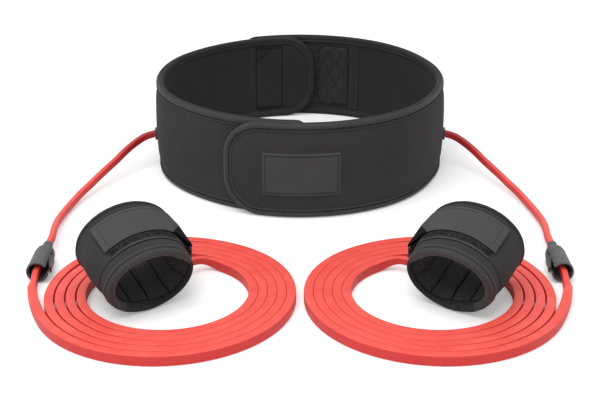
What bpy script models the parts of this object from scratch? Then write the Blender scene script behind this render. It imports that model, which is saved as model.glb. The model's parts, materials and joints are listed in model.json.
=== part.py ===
# A boxing resistance band: a padded waist belt that closes with two hook-and-loop flaps, an elastic
# band on each side that runs through a sliding lock to a flat coil, and a padded wrist cuff on each
# band's end. All sizes are in metres. The layout is drawn round the belt's centre, with -Y at the
# belt's front and the floor at z = 0. Left and right are as seen from the front: the left side, at
# -X, is modelled, and the right side's band, lock and cuff are its mirror image.
import math

import bmesh
import bpy
from mathutils import Matrix, Vector

# Belt: two padded panels, one over the other where they close at the front and at the back.
BELT_HEIGHT = 0.100
BELT_RADIUS = 0.1508
WALL = 0.0046
TAPE = 0.0008
TAPE_LEG = 0.0090
GAP = 0.0003
HINGE_GAP = 0.0006
FLAP_CORNER = 0.038
PLAIN_CORNER = 0.013
FACETS = 48
CORNER_STEPS = 6
OVERLAP_STARTS = 0.35
OVERLAP_FULL = 0.85

# Places round the belt, in degrees from +X, counterclockwise seen from above.
FRONT_HINGE_AT = -71.0
FRONT_FLAP_END_AT = -118.6
LEFT_PANEL_FRONT_AT = -86.7
BACK_HINGE_AT = 119.5
BACK_FLAP_END_AT = 83.0
RIGHT_PANEL_BACK_AT = 115.0

# Hook, loop and label patches.
HOOK_THICKNESS = 0.0012
LOOP_THICKNESS = 0.0010
PATCH_MARGIN = 0.014
FRONT_PATCH_TO = -90.5
BACK_HOOK_FROM = 99.0
BACK_HOOK_TO = 110.6
BACK_LOOP_FROM = 67.8
BACK_LOOP_TO = 111.0
EDGE_STRIP_FROM = 63.0
EDGE_STRIP_TO = 67.4
EDGE_STRIP_THICKNESS = 0.0008
LABEL_FROM = -103.3
LABEL_TO = -75.6
LABEL_BOTTOM = 0.0250
LABEL_HEIGHT = 0.0445
LABEL_THICKNESS = 0.0010

# Elastic band: a flat strip that lies on its edge.
BAND_THICKNESS = 0.0070
BAND_HEIGHT = 0.0094
BAND_CHAMFER = 0.0013
RUN_STEP = 0.0110

# Band socket on the belt's side.
SOCKET_AT = 186.0
SOCKET_Z = 0.0370
SOCKET_PLATE = (0.0165, 0.0200, 0.0014)
SOCKET_NOSE = (0.0098, 0.0124, 0.0044)
SOCKET_EDGE = 0.0004
SOCKET_ROUNDING = 0.25

# The left run's own points, from the socket to the lock and from the lock to the coil.
RUN_POINTS = [(-0.1690, -0.0195, 0.0345), (-0.1785, -0.0275, 0.0305), (-0.1880, -0.0420, 0.0262),
              (-0.1962, -0.0575, 0.0215), (-0.2037, -0.0705, 0.0178), (-0.2109, -0.0840, 0.0143),
              (-0.2173, -0.0980, 0.0113), (-0.2237, -0.1130, 0.0089), (-0.2287, -0.1295, 0.0071),
              (-0.2327, -0.1475, 0.0064), (-0.2353, -0.1670, 0.0069), (-0.2361, -0.1860, 0.0085),
              (-0.2350, -0.2060, 0.0105), (-0.2330, -0.2240, 0.0115), (-0.2330, -0.2400, 0.0115),
              (-0.2330, -0.2560, 0.0115), (-0.2330, -0.2730, 0.0115), (-0.2334, -0.2870, 0.0112),
              (-0.2340, -0.2990, 0.0094), (-0.2336, -0.3085, 0.0066)]

# Coil: one strip wound inwards, counterclockwise from its left side. Its middle drifts with each turn.
COIL_CENTRE = (-0.1140, -0.3270)
COIL_OUTER_RADIUS = 0.1108
COIL_PITCH = 0.0087
COIL_DRIFT = 0.0005
COIL_TURNS = 4.64
COIL_SQUASH = 0.972
COIL_POINTS_PER_TURN = 24
LEAD_OFFSET = 0.0064
LEAD_TURNS = 0.07
BACK_BULGE = 0.0042
BACK_BULGE_FROM = 0.66
BACK_BULGE_TO = 0.99
TAIL_STEPS = 7
TAIL_REACH = 1.15

# Lock: a hollow barrel with a soft collar, and a cam lever on a pin that grips the band.
LOCK_X = -0.2330
LOCK_BACK_Y = -0.2540
LOCK_BAND_Z = 0.0115
LOCK_AXIS_Z = 0.0107
BARREL_LENGTH = 0.0430
BARREL_RADIUS = 0.0100
BARREL_SHOULDER = 0.0082
BARREL_TAPER = 0.0100
BARREL_WALL = 0.0017
RIM_LENGTH = 0.0045
RIM_STEP = 0.0015
RIM_PROUD = 0.0002
RIM_ROUNDING = 0.0007
CAVITY_DEPTH = 0.0275
CAVITY_DRAFT = 0.0006
CAVITY_ROUNDING = 0.0015
BORE_CLEARANCE = 0.0004
BORE_ROUNDING = 0.0009
COLLAR_LENGTH = 0.0100
COLLAR_WALL = 0.0010
COLLAR_FLARE = 0.0008
COLLAR_ROUNDING = 0.0024
COLLAR_LIP = 0.0010
LEVER_HEIGHT = 0.0056
LEVER_Z = LOCK_BAND_Z + 0.0014
LEVER_CLEARANCE = 0.0004
LEVER_PROUD = 0.0018
LEVER_BOSS = 0.0026
CAM_LENGTH = 0.0040
TONGUE_PAST = 0.0006
TONGUE_LENGTH = 0.0100
TONGUE_FLARE = 0.0010
TONGUE_THICKNESS = 0.0016
SLOT_ROOM = 0.0024
PIN_RADIUS = 0.0011
PIN_CLEARANCE = 0.0003
PIN_X = 0.0076
PIN_ALONG = 0.0145
PIN_LENGTH = 0.0120

# Cuff: an oval padded tube, wider at its back, tipped up at its back by the webbing below it.
CUFF_PLACE = (-0.1257, -0.3526)
CUFF_TURN = math.radians(31.2)
CUFF_TILT = math.radians(17.4)
CUFF_LENGTH = 0.0570
CUFF_FRONT = (0.0402, 0.0349)
CUFF_BACK = (0.0434, 0.0387)
CHANNEL_POINTS = 3
SHELL_THICKNESS = 0.0026
SHELL_CROWN = 0.0012
LINING_THICKNESS = 0.0018
LINING_PUFF = 0.0021
LINING_CHANNELS = 12
CHANNEL_START = math.radians(6.0)
LINING_HEM = 0.0160
CHANNEL_POWER = 0.7
CUFF_SEGMENTS = LINING_CHANNELS * CHANNEL_POINTS
ROLL_TAPE = 0.0012
ROLL_LEG = 0.0075

# Cuff strap, its hook strip and the ring that it folds round.
STRAP_FRONT = 0.0180
STRAP_BACK_MARGIN = 0.0100
STRAP_THICKNESS = 0.0015
STRAP_START_AT = 30.0
STRAP_END_AT = 139.0
STRAP_STEPS = 14
STRAP_HOOK_FRONT = 0.0115
STRAP_HOOK_BACK_MARGIN = 0.0130
STRAP_HOOK_THICKNESS = 0.0008
STRAP_HOOK_FROM = 54.0
STRAP_HOOK_TO = 137.0
WIRE_RADIUS = 0.0012
WIRE_CLEARANCE = 0.00035
RING_SIDE_ROOM = 0.0008
STRAP_RING_STAND = 0.0042
STRAP_RING_AT = 10.0
STRAP_RING_TURN = 9.0
STRAP_RING_SPAN = 0.0120
STRAP_RING_CORNER = 0.0020
FOLD_END_AT = 181.0
STRAP_BASE_AT = -29.0
STRAP_BASE_END_AT = -68.0
STRAP_BASE_STEPS = 5

# Webbing below the cuff, the D-ring in it and the moulded eye on the band's inner end.
WEB_WIDTH = 0.0140
WEB_THICKNESS = 0.0014
WEB_BACK = CUFF_LENGTH - ROLL_LEG - 2 * GAP
WEB_ALONG = WEB_BACK - WEB_WIDTH / 2
WEB_SEWN_FROM = -116.0
WEB_SEWN_STEPS = 3
D_RING_X = 0.0360
D_RING_SPAN = 0.0105
D_RING_CORNER = 0.0026
EYE_WIDTH = 0.0095
EYE_RADIUS = 0.0041
EYE_LENGTH = 0.0115
EYE_TAPER = 0.98
EYE_CLEARANCE = 0.0004

LEFT = "left_"
RIGHT = "right_"


def clear_objects():
    for item in list(bpy.data.objects):
        bpy.data.objects.remove(item, do_unlink=True)


def material(name, colour, roughness, metallic=0.0):
    made = bpy.data.materials.new(name)
    made.use_nodes = True
    shader = made.node_tree.nodes["Principled BSDF"]
    shader.inputs["Base Color"].default_value = (*colour, 1.0)
    shader.inputs["Roughness"].default_value = roughness
    shader.inputs["Metallic"].default_value = metallic
    return made


def smoothstep(value):
    held = min(max(value, 0.0), 1.0)
    return held * held * (3.0 - 2.0 * held)


def object_from(bm, name, finish, parent, origin=(0.0, 0.0, 0.0)):
    # The mesh is drawn in the parent's frame and then moved so that the origin lies where it is asked.
    bmesh.ops.remove_doubles(bm, verts=bm.verts, dist=1e-7)
    bmesh.ops.recalc_face_normals(bm, faces=bm.faces)
    bmesh.ops.translate(bm, verts=bm.verts, vec=-Vector(origin))
    mesh = bpy.data.meshes.new(name)
    bm.to_mesh(mesh)
    bm.free()
    mesh.shade_smooth()
    mesh.set_sharp_from_angle(angle=math.radians(35))
    mesh.materials.append(finish)
    made = bpy.data.objects.new(name, mesh)
    bpy.context.collection.objects.link(made)
    made.parent = parent
    made.location = origin
    return made


def loft(rings, closed=False):
    # Joins rings of equally many points; an open run of rings gets a cap on each end.
    bm = bmesh.new()
    verts = [[bm.verts.new(point) for point in ring] for ring in rings]
    count = len(rings[0])
    last = len(rings) if closed else len(rings) - 1
    for row in range(last):
        near = verts[row]
        far = verts[(row + 1) % len(rings)]
        for k in range(count):
            bm.faces.new((near[k], near[(k + 1) % count], far[(k + 1) % count], far[k]))
    if not closed:
        bm.faces.new(reversed(verts[0]))
        bm.faces.new(verts[-1])
    return bm


def cut(body, cutter, cutter_name):
    # Takes one closed shape out of another.
    cutter.name = cutter_name
    cutter.hide_render = True
    cutter.display_type = 'WIRE'
    modifier = body.modifiers.new(cutter_name, 'BOOLEAN')
    modifier.operation = 'DIFFERENCE'
    modifier.solver = 'EXACT'
    modifier.object = cutter


def rounded_rectangle(width, height, radius, steps=3):
    # Points round a rectangle with arcs for corners, counterclockwise, centred on zero.
    points = []
    corners = [(1, 1, 0), (-1, 1, 90), (-1, -1, 180), (1, -1, 270)]
    for side, rise, start in corners:
        centre = (side * (width / 2 - radius), rise * (height / 2 - radius))
        for step in range(steps):
            angle = math.radians(start + 90.0 * step / (steps - 1))
            points.append((centre[0] + radius * math.cos(angle), centre[1] + radius * math.sin(angle)))
    return points


def circle(radius, sides):
    return [(radius * math.cos(2 * math.pi * k / sides), radius * math.sin(2 * math.pi * k / sides))
            for k in range(sides)]


# Belt

FACET = 2 * math.pi / FACETS
LAYER_STEP = WALL / 2 + (3 * GAP + HOOK_THICKNESS + LOOP_THICKNESS) / 2
SKIN = WALL / 2 + GAP + TAPE
OUTER_LAYER = 1.0
INNER_LAYER = -1.0


def overlap_share(theta):
    # 1 where the panels lie over each other at the front and back, 0 at the sides.
    return smoothstep((abs(math.sin(theta)) - OVERLAP_STARTS) / (OVERLAP_FULL - OVERLAP_STARTS))


def mid_radius(theta, layer):
    return BELT_RADIUS + layer * LAYER_STEP * overlap_share(theta)


def belt_point(theta, z, layer, out):
    # The belt is a run of flat facets, so pieces that lie on each other keep an even gap.
    place = theta / FACET
    first = math.floor(place)
    corners = []
    for facet in (first, first + 1):
        angle = facet * FACET
        radius = mid_radius(angle, layer) + out
        corners.append(Vector((radius * math.cos(angle), radius * math.sin(angle), z)))
    return corners[0].lerp(corners[1], place - first)


def facet_edges(start, end):
    # The facet edges that lie well between two angles, in the order from start to end.
    low, high = sorted((start, end))
    clear = 0.1 * FACET
    edges = [k * FACET for k in range(math.floor(low / FACET) + 1, math.ceil(high / FACET))]
    inside = [edge for edge in edges if low + clear < edge < high - clear]
    return inside if start < end else inside[::-1]


def corner_places():
    # Angles through a rounded corner.
    return [math.radians(90.0 * step / CORNER_STEPS) for step in range(CORNER_STEPS + 1)]


def panel_solid(hinge_at, end_at, corner, layer):
    # A curved padded wall, square at the hinge line and rounded at its bound end.
    inset = TAPE + GAP
    way = math.copysign(1.0, end_at - hinge_at)
    start = math.radians(hinge_at) + way * HINGE_GAP / 2 / BELT_RADIUS
    end = math.radians(end_at) - way * inset / BELT_RADIUS
    inner_corner = corner - inset
    full = end - way * inner_corner / BELT_RADIUS
    columns = [(theta, inset) for theta in [start] + facet_edges(start, full)]
    for angle in corner_places():
        columns.append((full + way * inner_corner * math.sin(angle) / BELT_RADIUS,
                        inset + inner_corner * (1 - math.cos(angle))))
    rings = []
    for theta, low in columns:
        rings.append([belt_point(theta, z, layer, out)
                      for z, out in ((low, WALL / 2), (BELT_HEIGHT - low, WALL / 2),
                                     (BELT_HEIGHT - low, -WALL / 2), (low, -WALL / 2))])
    return loft(rings)


def edge_path(hinge_at, end_at, corner):
    # Runs along the bottom edge from the hinge line, round the end and back along the top edge.
    way = math.copysign(1.0, end_at - hinge_at)
    start = math.radians(hinge_at) + way * HINGE_GAP / 2 / BELT_RADIUS
    end = math.radians(end_at)
    full = end - way * corner / BELT_RADIUS
    bottom = [(theta, 0.0, 0.0, 1.0) for theta in [start] + facet_edges(start, full)]
    for angle in corner_places():
        theta = full + way * corner * math.sin(angle) / BELT_RADIUS
        z = corner * (1 - math.cos(angle))
        bottom.append((theta, z, -way * math.sin(angle), math.cos(angle)))
    top = [(theta, BELT_HEIGHT - z, inward, -rise) for theta, z, inward, rise in reversed(bottom)]
    return bottom + top


def binding_solid(hinge_at, end_at, corner, layer):
    # A folded tape that wraps both faces of the panel's edge.
    bare = WALL / 2 + GAP
    section = [(0.0, -SKIN), (TAPE_LEG, -SKIN), (TAPE_LEG, -bare), (TAPE, -bare),
               (TAPE, bare), (TAPE_LEG, bare), (TAPE_LEG, SKIN), (0.0, SKIN)]
    rings = []
    for theta, z, across, rise in edge_path(hinge_at, end_at, corner):
        rings.append([belt_point(theta + across * depth / BELT_RADIUS, z + rise * depth, layer, out)
                      for depth, out in section])
    return loft(rings)


def patch_solid(from_at, to_at, bottom, top, layer, inner, outer):
    # A thin curved patch between two distances from the wall's middle.
    start = math.radians(from_at)
    end = math.radians(to_at)
    rings = []
    for theta in [start] + facet_edges(start, end) + [end]:
        rings.append([belt_point(theta, z, layer, out)
                      for z, out in ((bottom, outer), (top, outer), (top, inner), (bottom, inner))])
    return loft(rings)


def patch_end(end_at, corner):
    # As far towards a rounded flap's end as a patch can reach inside the curved tape.
    tape_curve = corner - TAPE_LEG - 2 * GAP
    drawn = corner - PATCH_MARGIN
    reach = corner - math.sqrt(max(tape_curve ** 2 - drawn ** 2, 0.0))
    return end_at + math.degrees(max(reach, TAPE_LEG + 2 * GAP) / BELT_RADIUS)


def build_belt(layout, finishes):
    face = WALL / 2 + GAP
    low = PATCH_MARGIN
    high = BELT_HEIGHT - PATCH_MARGIN
    front_patch_from = patch_end(FRONT_FLAP_END_AT, FLAP_CORNER)
    front_axis = belt_point(math.radians(FRONT_HINGE_AT), 0.0, OUTER_LAYER, SKIN)
    back_axis = belt_point(math.radians(BACK_HINGE_AT), 0.0, INNER_LAYER, -SKIN)
    panels = [("right_panel", FRONT_HINGE_AT, RIGHT_PANEL_BACK_AT, PLAIN_CORNER, OUTER_LAYER, (0, 0, 0)),
              ("front_flap", FRONT_HINGE_AT, FRONT_FLAP_END_AT, FLAP_CORNER, OUTER_LAYER, front_axis),
              ("left_panel", BACK_HINGE_AT, 360.0 + LEFT_PANEL_FRONT_AT, PLAIN_CORNER, INNER_LAYER,
               (0, 0, 0)),
              ("back_flap", BACK_HINGE_AT, BACK_FLAP_END_AT, FLAP_CORNER, INNER_LAYER, back_axis)]
    for name, hinge_at, end_at, corner, layer, origin in panels:
        wall = panel_solid(hinge_at, end_at, corner, layer)
        object_from(wall, name, finishes["neoprene"], layout, origin)
        tape = binding_solid(hinge_at, end_at, corner, layer)
        object_from(tape, name + "_binding", finishes["binding"], layout, origin)
    hook = patch_solid(front_patch_from, FRONT_PATCH_TO, low, high, OUTER_LAYER,
                       -face - HOOK_THICKNESS, -face)
    object_from(hook, "front_hook_patch", finishes["hook"], layout, front_axis)
    loop = patch_solid(front_patch_from, FRONT_PATCH_TO, low, high, INNER_LAYER,
                       face, face + LOOP_THICKNESS)
    object_from(loop, "front_loop_patch", finishes["loop"], layout)
    hook = patch_solid(BACK_HOOK_FROM, BACK_HOOK_TO, low, high, INNER_LAYER,
                       face, face + HOOK_THICKNESS)
    object_from(hook, "back_hook_patch", finishes["hook"], layout, back_axis)
    loop = patch_solid(BACK_LOOP_FROM, BACK_LOOP_TO, low, high, OUTER_LAYER,
                       -face - LOOP_THICKNESS, -face)
    object_from(loop, "back_loop_panel", finishes["loop"], layout)
    strip = patch_solid(EDGE_STRIP_FROM, EDGE_STRIP_TO, TAPE_LEG + GAP, BELT_HEIGHT - TAPE_LEG - GAP,
                        OUTER_LAYER, -face - EDGE_STRIP_THICKNESS, -face)
    object_from(strip, "back_edge_strip", finishes["binding"], layout)
    label = patch_solid(LABEL_FROM, LABEL_TO, LABEL_BOTTOM, LABEL_BOTTOM + LABEL_HEIGHT, OUTER_LAYER,
                        face, face + LABEL_THICKNESS)
    object_from(label, "label_patch", finishes["label"], layout, front_axis)
    return front_axis, back_axis


# Band socket on the belt's left side

def socket_frame():
    # The point on the belt's wall, the outward direction and the direction round the belt.
    theta = math.radians(SOCKET_AT)
    outward = Vector((math.cos(theta), math.sin(theta), 0.0))
    around = Vector((-math.sin(theta), math.cos(theta), 0.0))
    wall = outward * (mid_radius(theta, INNER_LAYER) + WALL / 2)
    return wall + Vector((0.0, 0.0, SOCKET_Z)), outward, around


def band_start():
    wall, outward, _around = socket_frame()
    return wall + outward * (2 * GAP + SOCKET_PLATE[2] + SOCKET_NOSE[2]), outward


def build_socket(layout, finish):
    wall, outward, around = socket_frame()
    upward = Vector((0.0, 0.0, 1.0))
    width, height, depth = SOCKET_PLATE
    nose_width, nose_height, nose_depth = SOCKET_NOSE
    edge = SOCKET_EDGE
    tip = GAP + depth + nose_depth
    stations = [(GAP, width, height), (GAP + depth - edge, width, height),
                (GAP + depth, width - 2 * edge, height - 2 * edge),
                (GAP + depth, nose_width + 4 * edge, nose_height + 4 * edge),
                (tip - edge, nose_width, nose_height),
                (tip, nose_width - 2 * edge, nose_height - 2 * edge)]
    rings = []
    for out, across, tall in stations:
        shape = rounded_rectangle(across, tall, across * SOCKET_ROUNDING)
        rings.append([wall + outward * out + around * u + upward * v for u, v in shape])
    object_from(loft(rings), LEFT + "band_socket", finish, layout)


# Elastic band

def band_section():
    # A rectangle that is square below and chamfered on top.
    half = BAND_THICKNESS / 2
    tall = BAND_HEIGHT / 2
    return [(-half, -tall), (half, -tall), (half, tall - BAND_CHAMFER), (half - BAND_CHAMFER, tall),
            (BAND_CHAMFER - half, tall), (-half, tall - BAND_CHAMFER)]


def smooth_points(points, step):
    # A curve through every point, read off at nearly equal steps along its length.
    held = [points[0] * 2 - points[1]] + points + [points[-1] * 2 - points[-2]]
    fine = []
    for k in range(1, len(held) - 2):
        a, b, c, d = held[k - 1:k + 3]
        for part in range(12):
            u = part / 12
            fine.append(0.5 * ((2 * b) + (c - a) * u + (2 * a - 5 * b + 4 * c - d) * u ** 2
                               + (3 * b - a - 3 * c + d) * u ** 3))
    fine.append(points[-1])
    travelled = [0.0]
    for near, far in zip(fine, fine[1:]):
        travelled.append(travelled[-1] + (far - near).length)
    count = max(2, round(travelled[-1] / step))
    picked = []
    k = 0
    for index in range(count + 1):
        wanted = travelled[-1] * index / count
        while k < len(fine) - 2 and travelled[k + 1] < wanted:
            k += 1
        share = (wanted - travelled[k]) / (travelled[k + 1] - travelled[k])
        picked.append(fine[k].lerp(fine[k + 1], min(max(share, 0.0), 1.0)))
    return picked


def strip_rings(points, start_way=None, end_way=None):
    # Stands the band's section square to the path at each point, with its tall side upright.
    rings = []
    for k, point in enumerate(points):
        ahead = points[min(k + 1, len(points) - 1)] - point
        behind = point - points[max(k - 1, 0)]
        if k == 0:
            way = start_way or ahead
        elif k == len(points) - 1:
            way = end_way or behind
        else:
            way = ahead.normalized() + behind.normalized()
        way = way.normalized()
        side = way.cross(Vector((0.0, 0.0, 1.0))).normalized()
        rise = side.cross(way)
        rings.append([point + side * u + rise * v for u, v in band_section()])
    return rings


def coil_radius(turn):
    # The strip's middle line: a steady pitch, a short lead-in and a bulge on the first turn's back.
    radius = COIL_OUTER_RADIUS - COIL_PITCH * turn
    if turn < LEAD_TURNS:
        radius += LEAD_OFFSET * (1 - turn / LEAD_TURNS) ** 2
    if BACK_BULGE_FROM < turn < BACK_BULGE_TO:
        share = (turn - BACK_BULGE_FROM) / (BACK_BULGE_TO - BACK_BULGE_FROM)
        radius += BACK_BULGE * math.sin(math.pi * share) ** 2
    return radius


def coil_point(turn):
    angle = math.pi + 2 * math.pi * turn
    radius = coil_radius(turn)
    return Vector((COIL_CENTRE[0] + COIL_DRIFT * turn + radius * math.cos(angle),
                   COIL_CENTRE[1] + COIL_SQUASH * radius * math.sin(angle), BAND_HEIGHT / 2))


def hermite(start, start_way, end, end_way, steps):
    # A curve between two points that leaves and arrives in the directions given.
    reach = (end - start).length * TAIL_REACH
    points = []
    for step in range(1, steps):
        u = step / steps
        points.append(start * (2 * u ** 3 - 3 * u ** 2 + 1) + start_way * reach * (u ** 3 - 2 * u ** 2 + u)
                      + end * (3 * u ** 2 - 2 * u ** 3) + end_way * reach * (u ** 3 - u ** 2))
    return points


def coil_path():
    # A straight lead-in, the turns, and a tail that rises to the eye and ends straight.
    small = 0.001
    first_way = (coil_point(small) - coil_point(0.0)).normalized()
    lead_in = coil_point(0.0) - first_way * BAND_HEIGHT
    count = round(COIL_TURNS * COIL_POINTS_PER_TURN)
    turns = [coil_point(COIL_TURNS * k / count) for k in range(count + 1)]
    last_way = (coil_point(COIL_TURNS) - coil_point(COIL_TURNS - small)).normalized()
    tail_end = cuff_to_layout() @ Vector((D_RING_X + D_RING_SPAN + EYE_LENGTH + GAP, WEB_ALONG,
                                          web_bar_height()))
    outward = cuff_to_layout().to_3x3() @ Vector((1.0, 0.0, 0.0))
    tail_start = tail_end + outward * BAND_HEIGHT
    tail = hermite(turns[-1], last_way, tail_start, -outward, TAIL_STEPS)
    return [lead_in] + turns + tail + [tail_start, tail_end], lead_in, first_way, turns


def least_gap(turns):
    # The smallest clear distance between a turn and the next one, measured on the points.
    nearest = min((turns[k] - turns[other]).length
                  for k in range(len(turns))
                  for other in range(k + COIL_POINTS_PER_TURN // 2, len(turns)))
    return nearest - BAND_THICKNESS


def build_band(layout, finish):
    path, lead_in, first_way, turns = coil_path()
    object_from(loft(strip_rings(path)), LEFT + "band_coil", finish, layout)
    start, outward = band_start()
    run_end = lead_in - first_way * GAP
    points = [start] + [Vector(point) for point in RUN_POINTS] + [run_end]
    spaced = smooth_points(points, RUN_STEP)
    object_from(loft(strip_rings(spaced, outward, first_way)), LEFT + "band_run", finish, layout)
    length = sum((far - near).length for near, far in zip(spaced, spaced[1:]))
    wound = sum((far - near).length for near, far in zip(path, path[1:]))
    print("least gap between coil turns: %.2f mm" % (least_gap(turns) * 1000))
    print("band length: run %.1f mm, coil %.1f mm" % (length * 1000, wound * 1000))


# Lock

def lock_point(across, along, z):
    # Across is towards the coil's side, along is the way from the belt to the coil.
    return Vector((LOCK_X + across, LOCK_BACK_Y - along, z))


def box_between(low, high):
    bm = bmesh.new()
    bmesh.ops.create_cube(bm, size=1.0)
    size = Vector(high) - Vector(low)
    bmesh.ops.scale(bm, vec=(abs(size.x), abs(size.y), abs(size.z)), verts=bm.verts)
    bmesh.ops.translate(bm, vec=(Vector(low) + Vector(high)) / 2, verts=bm.verts)
    return bm


def upright_cylinder(centre, radius, low, high, sides=12):
    rings = [[Vector((centre.x + u, centre.y + v, z)) for u, v in circle(radius, sides)]
             for z in (low, high)]
    return loft(rings)


def bore_size():
    return BAND_THICKNESS + 2 * BORE_CLEARANCE, BAND_HEIGHT + 2 * BORE_CLEARANCE


def barrel_solid():
    # Turned about the lock's axis: a domed shoulder, a plain length, a lip, and a hollow mouth.
    outline = []
    for share in (0.0, 0.12, 0.45, 1.0):
        swell = (BARREL_RADIUS - BARREL_SHOULDER) * math.sqrt(share)
        outline.append((BARREL_TAPER * share, BARREL_SHOULDER + swell))
    rim = BARREL_RADIUS + RIM_PROUD
    hollow = rim - BARREL_WALL
    deep = BARREL_LENGTH - CAVITY_DEPTH
    outline += [(BARREL_LENGTH - RIM_LENGTH - RIM_STEP, BARREL_RADIUS), (BARREL_LENGTH - RIM_LENGTH, rim),
                (BARREL_LENGTH - RIM_ROUNDING, rim), (BARREL_LENGTH, rim - RIM_ROUNDING),
                (BARREL_LENGTH, hollow), (deep + CAVITY_ROUNDING, hollow - CAVITY_DRAFT),
                (deep, hollow - CAVITY_DRAFT - CAVITY_ROUNDING)]
    return loft([[lock_point(u, along, LOCK_AXIS_Z + v) for u, v in circle(radius, 24)]
                 for along, radius in outline])


def lever_solid():
    # Seen from above: a cam nose beside the band, a boss round the pin and a flared tongue.
    nose = BAND_THICKNESS / 2 + LEVER_CLEARANCE
    back = BARREL_RADIUS + LEVER_PROUD
    tip = BARREL_LENGTH + TONGUE_PAST
    outline = [(nose, PIN_ALONG + CAM_LENGTH / 4), (PIN_X - LEVER_BOSS / 2, PIN_ALONG - LEVER_BOSS),
               (PIN_X + LEVER_BOSS / 2, PIN_ALONG - LEVER_BOSS), (PIN_X + LEVER_BOSS, PIN_ALONG),
               (back, PIN_ALONG + 2 * CAM_LENGTH), (back, tip - TONGUE_LENGTH),
               (back + TONGUE_FLARE, tip - TONGUE_LENGTH / 3), (back, tip),
               (back - TONGUE_THICKNESS, tip - TONGUE_LENGTH / 2),
               (BARREL_RADIUS - LEVER_BOSS, PIN_ALONG + 2.5 * CAM_LENGTH),
               (nose + TONGUE_FLARE / 2, PIN_ALONG + 1.25 * CAM_LENGTH), (nose, PIN_ALONG + CAM_LENGTH)]
    return loft([[lock_point(across, along, LEVER_Z + z) for across, along in outline]
                 for z in (-LEVER_HEIGHT / 2, LEVER_HEIGHT / 2)])


def collar_solid():
    width, height = bore_size()
    wide = width + 2 * COLLAR_WALL
    tall = height + 2 * COLLAR_WALL
    near = rounded_rectangle(wide + COLLAR_FLARE, tall + COLLAR_FLARE, COLLAR_ROUNDING)
    far = rounded_rectangle(wide, tall, COLLAR_ROUNDING)
    lip = rounded_rectangle(wide - COLLAR_WALL, tall - COLLAR_WALL, COLLAR_ROUNDING - COLLAR_WALL / 2)
    hole = rounded_rectangle(width, height, BORE_ROUNDING)
    places = [(near, -GAP), (far, COLLAR_LIP - COLLAR_LENGTH), (lip, -COLLAR_LENGTH),
              (hole, -COLLAR_LENGTH), (hole, -GAP)]
    return loft([[lock_point(u, along, LOCK_BAND_Z + v) for u, v in shape] for shape, along in places],
                closed=True)


def build_lock(layout, finishes):
    origin = lock_point(0.0, 0.0, LOCK_BAND_Z)
    pin_at = lock_point(PIN_X, PIN_ALONG, LEVER_Z)
    barrel = object_from(barrel_solid(), LEFT + "lock_body", finishes["lock"], layout, origin)
    lever = object_from(lever_solid(), LEFT + "lock_lever", finishes["lock_dark"], layout, pin_at)
    object_from(collar_solid(), LEFT + "lock_collar", finishes["collar"], layout, origin)
    pin = upright_cylinder(pin_at, PIN_RADIUS, LOCK_AXIS_Z - PIN_LENGTH / 2, LOCK_AXIS_Z + PIN_LENGTH / 2)
    object_from(pin, LEFT + "lock_pin", finishes["steel"], layout, pin_at)

    past = BARREL_WALL
    bore_width, bore_height = bore_size()
    bore = box_between(lock_point(-bore_width / 2, -past, LOCK_BAND_Z - bore_height / 2),
                       lock_point(bore_width / 2, BARREL_LENGTH - CAVITY_DEPTH + past,
                                  LOCK_BAND_Z + bore_height / 2))
    slot_half = LEVER_HEIGHT / 2 + LEVER_CLEARANCE
    slot = box_between(lock_point(BAND_THICKNESS / 2, PIN_ALONG - LEVER_BOSS - SLOT_ROOM,
                                  LEVER_Z - slot_half),
                       lock_point(BARREL_RADIUS + past, BARREL_LENGTH + past, LEVER_Z + slot_half))
    hole = upright_cylinder(pin_at, PIN_RADIUS + PIN_CLEARANCE, LOCK_AXIS_Z - 2 * BARREL_RADIUS,
                            LOCK_AXIS_Z + 2 * BARREL_RADIUS)
    lever_hole = upright_cylinder(pin_at, PIN_RADIUS + PIN_CLEARANCE, LEVER_Z - LEVER_HEIGHT,
                                  LEVER_Z + LEVER_HEIGHT)
    for body, shape, name in ((barrel, bore, "lock_bore"), (barrel, slot, "lock_slot"),
                              (barrel, hole, "lock_pin_hole"), (lever, lever_hole, "lever_pin_hole")):
        cut(body, object_from(shape, name, finishes["lock"], layout), LEFT + name + "_cutter")
    return origin, pin_at


# Cuff

def cuff_to_layout():
    # The front rim's lowest point touches the floor.
    drop = math.cos(CUFF_TILT) * CUFF_FRONT[1] + GAP / 3
    place = Matrix.Translation((CUFF_PLACE[0], CUFF_PLACE[1], drop))
    turn = Matrix.Rotation(CUFF_TURN, 4, 'Z')
    tilt = Matrix.Rotation(CUFF_TILT, 4, 'X')
    return place @ turn @ tilt


def oval_point(angle, along, out):
    share = along / CUFF_LENGTH
    wide = CUFF_FRONT[0] + (CUFF_BACK[0] - CUFF_FRONT[0]) * share + out
    tall = CUFF_FRONT[1] + (CUFF_BACK[1] - CUFF_FRONT[1]) * share + out
    return Vector((wide * math.cos(angle), along, tall * math.sin(angle)))


def shell_out(along):
    # The padded wall swells between its two rims.
    rim = ROLL_LEG + GAP
    share = min(max((along - rim) / (CUFF_LENGTH - 2 * rim), 0.0), 1.0)
    return -ROLL_TAPE - GAP + SHELL_CROWN * math.sin(math.pi * share)


def oval_rings(stations, count):
    # Each station is a place along the cuff and a function that gives the distance out at an angle.
    angles = [CHANNEL_START + 2 * math.pi * k / count for k in range(count)]
    return [[oval_point(angle, along, out_at(angle)) for angle in angles] for along, out_at in stations]


def in_layout(bm, matrix):
    bmesh.ops.transform(bm, matrix=matrix, verts=bm.verts)
    return bm


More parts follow.
